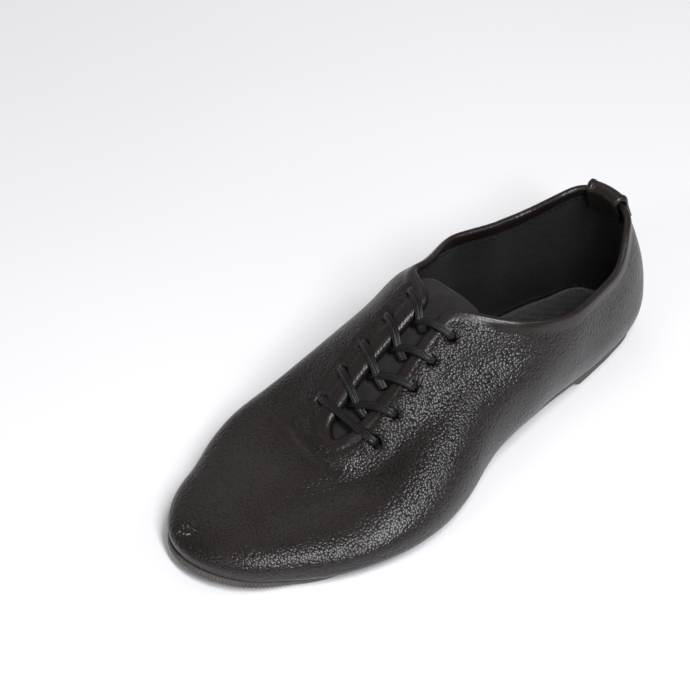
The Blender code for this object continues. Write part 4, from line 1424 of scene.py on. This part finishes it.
def make_heel_tab(s, f):
    """Leather folded over the top line at the back, gathered into small pleats at its ends.

    Down the outside it is the skin plus a clearance and the turned edge's swell, over the top half
    a circle, and inside the skin less the wall. Its pleats are sines that grow toward the ends."""
    outline = plan_outline(s)
    heel = spine_points(s, HEEL_CENTRE)
    half = s.tab_width / 2 / (HEEL_CENTRE * s.length)
    angles = np.linspace(half, -half, 72)
    drops = np.linspace(0, s.tab_drop, 26)
    foot = fan(outline, heel, -1, angles)
    columns = as_columns(s, foot, np.tile(heel, (len(foot), 1)))
    turned = skin_grid(s, columns, 1, 80)[:, :0:-1]
    strip = np.stack([at_distance(drops, row, line) for row, line in zip(walk(turned), turned)])
    normal = unit(np.cross(np.gradient(strip, axis=1), np.gradient(strip, axis=0)))
    swell = TAB_SWELL * s.roll * np.clip(1 - drops / (3 * s.roll), 0, 1) ** 2
    outside = (strip + normal * (s.clearance + swell)[None, :, None])[:, ::-1]
    inside = strip - normal * (TAB_DEPTH * s.wall + s.clearance)
    out = normal[:, 0]
    up = unit(strip[:, 0] - strip[:, 1])
    thick = TAB_DEPTH * s.wall + TAB_SWELL * s.roll
    centre = strip[:, 0] + out * (TAB_SWELL * s.roll - thick / 2)
    turn = np.linspace(0, math.pi, 14)[1:-1, None]
    bend = out[:, None] * np.cos(turn) + up[:, None] * np.sin(turn)
    arc = centre[:, None] + (thick / 2 + s.clearance) * bend
    grid = np.concatenate([outside, arc, inside], axis=1)
    across = np.linspace(-1, 1, len(angles))[:, None]
    along = np.linspace(0, 1, grid.shape[1])[None]
    middle = np.sin(math.pi * along)
    pleat = TAB_PLEAT * np.sin(across * 34 + 3 * along) * grow(np.abs(across), 0.55, 0.45) * middle
    pleat += TAB_FOLD * np.sin(along * 40 + across * 6) * np.clip(along - 0.55, 0, 1) * 2
    pleat += TAB_GATHER * np.exp(-((np.abs(across) - 0.93) / 0.06) ** 2) * middle
    grid = grid + normals_of(grid, False) * pleat[..., None]
    stretch = np.tile(0.55 + 0.30 * np.exp(-((along - 0.45) / 0.15) ** 2), (len(angles), 1))
    tab = surface("heel_tab_leather", grid, grid_faces(*grid.shape[:2], False),
                  [leather(s, f, "folded_black_leather", calm=True)], marks={"stretch": stretch})
    body = tab.modifiers.new("body", "SOLIDIFY")
    body.thickness = s.tab
    body.offset = 1
    settle(tab)
    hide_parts("heel_tab")
    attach(tab, "root")


# Lace

def lace_profile(s):
    """Cross-section of the cord: an oval whose radius is 1 plus a cosine of ribs times the turn."""
    turn = np.linspace(0, 2 * math.pi, LACE_ROUND, endpoint=False)
    rib = 1 + RIB_HEIGHT * np.cos(LACE_RIBS * turn)
    return 0.5 * s.lace * rib[:, None] * np.stack([np.cos(turn), np.sin(turn)], axis=1) * LACE_OVAL


def lace_tube(s, finish, name, knots):
    """Cord through knots of station, offset and height over the skin."""
    at, offset, height = through(knots, 200).T
    path = evenly(above_instep(s, at, offset, height), LACE_ALONG)
    shadow = evenly(above_instep(s, at, offset, height + 0.001), LACE_ALONG)
    grid = carried(path, unit(shadow - path), lace_profile(s), rounded_ends(LACE_ALONG, 0.03))
    girth = np.linspace(0, math.pi * s.lace, LACE_ROUND, endpoint=False)
    made = surface(name, grid, grid_faces(*grid.shape[:2], False, True), [finish], weld=True,
                   layout=spread(walk(path), girth))
    outward(made)
    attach(made, "root")
    return made


def lace_rest(s):
    """Height of the cord's middle where it lies on the leather."""
    return s.lace / 2 + 2 * s.clearance


def strand_knots(s, low, high, sign):
    """Half a crossing: out of the throat beside one flap, over the other one and down its hole."""
    rest = lace_rest(s)
    advance = high - low
    start = low + STRAND_START * advance
    inner = throat_half(s, start) - rest
    edge = throat_half(s, high)
    hole = edge + s.setback
    return [
        (start - 0.02 * advance, sign * inner, s.lace / 2 - THROAT_DEPTH),
        (low + 0.5 * advance, 0.0, rest * STRAND_MIDDLE_RISE),
        (low + STRAND_EDGE * advance, -sign * edge, rest * STRAND_EDGE_RISE),
        (low + STRAND_PAST * advance, -sign * (edge + 0.60 * s.setback), rest * STRAND_PAST_RISE),
        (high, -sign * (hole - 0.0004), rest * HOLE_RISE),
        (high + 0.01 * advance, -sign * (hole + 0.0002), -HOLE_DEPTH),
    ]


def bar_knots(s, lateral, medial):
    """The lace's bar: up out of the medial hole, straight over the throat and down the lateral one."""
    rest = lace_rest(s)
    left = throat_half(s, medial) + s.setback
    right = throat_half(s, lateral) + s.setback
    return [
        (medial, -left - 0.0002, -HOLE_DEPTH),
        (medial, -left + 0.0006, rest * HOLE_RISE),
        (medial, -left * BAR_SIDE, rest * BAR_SIDE_RISE),
        ((lateral + medial) / 2, 0.0, rest * BAR_MIDDLE_RISE),
        (lateral, right * BAR_SIDE, rest * BAR_SIDE_RISE),
        (lateral, right - 0.0006, rest * HOLE_RISE),
        (lateral, right + 0.0002, -HOLE_DEPTH),
    ]


def make_lace(s, f):
    """Straight bar between the front holes and four crossings above it."""
    finish = cord(s, f, "braided_black_cord")
    bar = lace_tube(s, finish, "lace_bar_cord", bar_knots(s, *EYELETS[0]))
    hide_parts("lace_bar")
    for number, (low, high) in enumerate(zip(EYELETS, EYELETS[1:]), start=1):
        over = lace_tube(s, finish, f"lace_to_medial_{number}", strand_knots(s, low[0], high[1], 1))
        under = lace_tube(s, finish, f"lace_to_lateral_{number}", strand_knots(s, low[1], high[0], -1))
        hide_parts(f"lace_crossing_{number}")
        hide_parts(f"lace_crossing_{number}")


# Stage

def make_stage(f):
    """White sweep, large soft lights that face the shoe, and the camera at the photograph's angle:
    back from its target along the azimuth and elevation, and rolled about that line."""
    scene = bpy.context.scene
    steps = np.linspace(-FLOOR_REACH, FLOOR_REACH, 3)
    x, y = np.meshgrid(steps, steps, indexing="ij")
    grid = np.stack([x, y, np.zeros_like(x)], axis=-1)
    floor = surface("floor", grid, grid_faces(3, 3, False), [paper(f, "matt_white_paper")])
    world = bpy.data.worlds.new("studio")
    world.use_nodes = True
    sky = world.node_tree.nodes["Background"]
    sky.inputs["Color"].default_value = SKY_COLOUR
    sky.inputs["Strength"].default_value = SKY_STRENGTH
    scene.world = world
    for name, spot, width, depth, power, colour in LIGHTS:
        data = bpy.data.lights.new(name, "AREA")
        data.shape = "RECTANGLE"
        data.size, data.size_y = width, depth
        data.energy = power
        data.color = colour
        lamp = bpy.data.objects.new(name, data)
        lamp.location = spot
        facing = Vector(spot) - Vector(LIGHT_TARGET)
        lamp.rotation_euler = facing.to_track_quat("Z", "Y").to_euler()
        scene.collection.objects.link(lamp)
    camera = bpy.data.cameras.new("camera")
    camera.sensor_width = SENSOR
    camera.lens = LENS
    around, above, roll = (math.radians(angle) for angle in CAMERA_ANGLES)
    flat = math.cos(above)
    back = Vector((math.sin(around) * flat, -math.cos(around) * flat, math.sin(above)))
    right = Vector((math.cos(around), math.sin(around), 0))
    up = back.cross(right)
    across = right * math.cos(roll) + up * math.sin(roll)
    upward = -right * math.sin(roll) + up * math.cos(roll)
    pose = Matrix((across, upward, back)).transposed().to_4x4()
    pose.translation = Vector(CAMERA_TARGET) + back * CAMERA_DISTANCE
    viewer = bpy.data.objects.new("camera", camera)
    viewer.matrix_world = pose
    scene.collection.objects.link(viewer)
    scene.camera = viewer
    scene.view_settings.view_transform = "Standard"
    scene.view_settings.exposure = EXPOSURE


# Operators and panel

def chosen(context):
    """The scene's sizes and finishes."""
    return context.scene.shoe_sizes, context.scene.shoe_finishes


class SHOE_OT_upper(bpy.types.Operator):
    """Make the leather upper with its lining, creases and lace holes"""

    bl_idname = "shoe.upper"
    bl_label = "Upper"

    def execute(self, context):
        make_upper(*chosen(context))
        return {"FINISHED"}


class SHOE_OT_top_line(bpy.types.Operator):
    """Make the binding under the turned edge, its stitches and those ahead of the throat"""

    bl_idname = "shoe.top_line"
    bl_label = "Top line"

    def execute(self, context):
        make_binding(*chosen(context))
        make_bar_tack(*chosen(context))
        return {"FINISHED"}


class SHOE_OT_outsole(bpy.types.Operator):
    """Make the moulded sole with its heel and its toothed rim"""

    bl_idname = "shoe.outsole"
    bl_label = "Outsole"

    def execute(self, context):
        make_outsole(*chosen(context))
        return {"FINISHED"}


class SHOE_OT_insole(bpy.types.Operator):
    """Make the cloth-covered insole"""

    bl_idname = "shoe.insole"
    bl_label = "Insole"

    def execute(self, context):
        make_insole(*chosen(context))
        return {"FINISHED"}


class SHOE_OT_tongue(bpy.types.Operator):
    """Make the suede tongue"""

    bl_idname = "shoe.tongue"
    bl_label = "Tongue"

    def execute(self, context):
        make_tongue(*chosen(context))
        return {"FINISHED"}


class SHOE_OT_heel_tab(bpy.types.Operator):
    """Make the leather tab over the back of the top line"""

    bl_idname = "shoe.heel_tab"
    bl_label = "Heel tab"

    def execute(self, context):
        make_heel_tab(*chosen(context))
        return {"FINISHED"}


class SHOE_OT_lace(bpy.types.Operator):
    """Make the cord that closes the throat"""

    bl_idname = "shoe.lace"
    bl_label = "Lace"

    def execute(self, context):
        make_lace(*chosen(context))
        return {"FINISHED"}


class SHOE_OT_stage(bpy.types.Operator):
    """Make the floor, the lights and the camera"""

    bl_idname = "shoe.stage"
    bl_label = "Stage"

    def execute(self, context):
        make_stage(context.scene.shoe_finishes)
        return {"FINISHED"}


OPERATORS = (
    SHOE_OT_stage,
    SHOE_OT_upper,
    SHOE_OT_top_line,
    SHOE_OT_outsole,
    SHOE_OT_insole,
    SHOE_OT_tongue,
    SHOE_OT_heel_tab,
    SHOE_OT_lace,
)


class SHOE_PT_panel(bpy.types.Panel):
    """Sizes, finishes and steps of the shoe"""

    bl_idname = "SHOE_PT_panel"
    bl_label = "Jazz shoe"
    bl_space_type = "VIEW_3D"
    bl_region_type = "UI"
    bl_category = "Shoe"

    def draw(self, context):
        for group in chosen(context):
            box = self.layout.box()
            for key in group.__annotations__:
                box.prop(group, key)
        for operator in OPERATORS:
            self.layout.operator(operator.bl_idname)


def register():
    """Register the classes and hang the settings on the scene."""
    for kind in (ShoeSizes, ShoeFinishes, *OPERATORS, SHOE_PT_panel):
        bpy.utils.register_class(kind)
    bpy.types.Scene.shoe_sizes = bpy.props.PointerProperty(type=ShoeSizes)
    bpy.types.Scene.shoe_finishes = bpy.props.PointerProperty(type=ShoeFinishes)


def unregister():
    """Undo register."""
    del bpy.types.Scene.shoe_finishes
    del bpy.types.Scene.shoe_sizes
    for kind in (SHOE_PT_panel, *reversed(OPERATORS), ShoeFinishes, ShoeSizes):
        bpy.utils.unregister_class(kind)


def main():
    """Make every piece in order."""
    register()
    for operator in OPERATORS:
        group, step = operator.bl_idname.split(".")
        getattr(getattr(bpy.ops, group), step)()


if __name__ == "__main__":
    main()
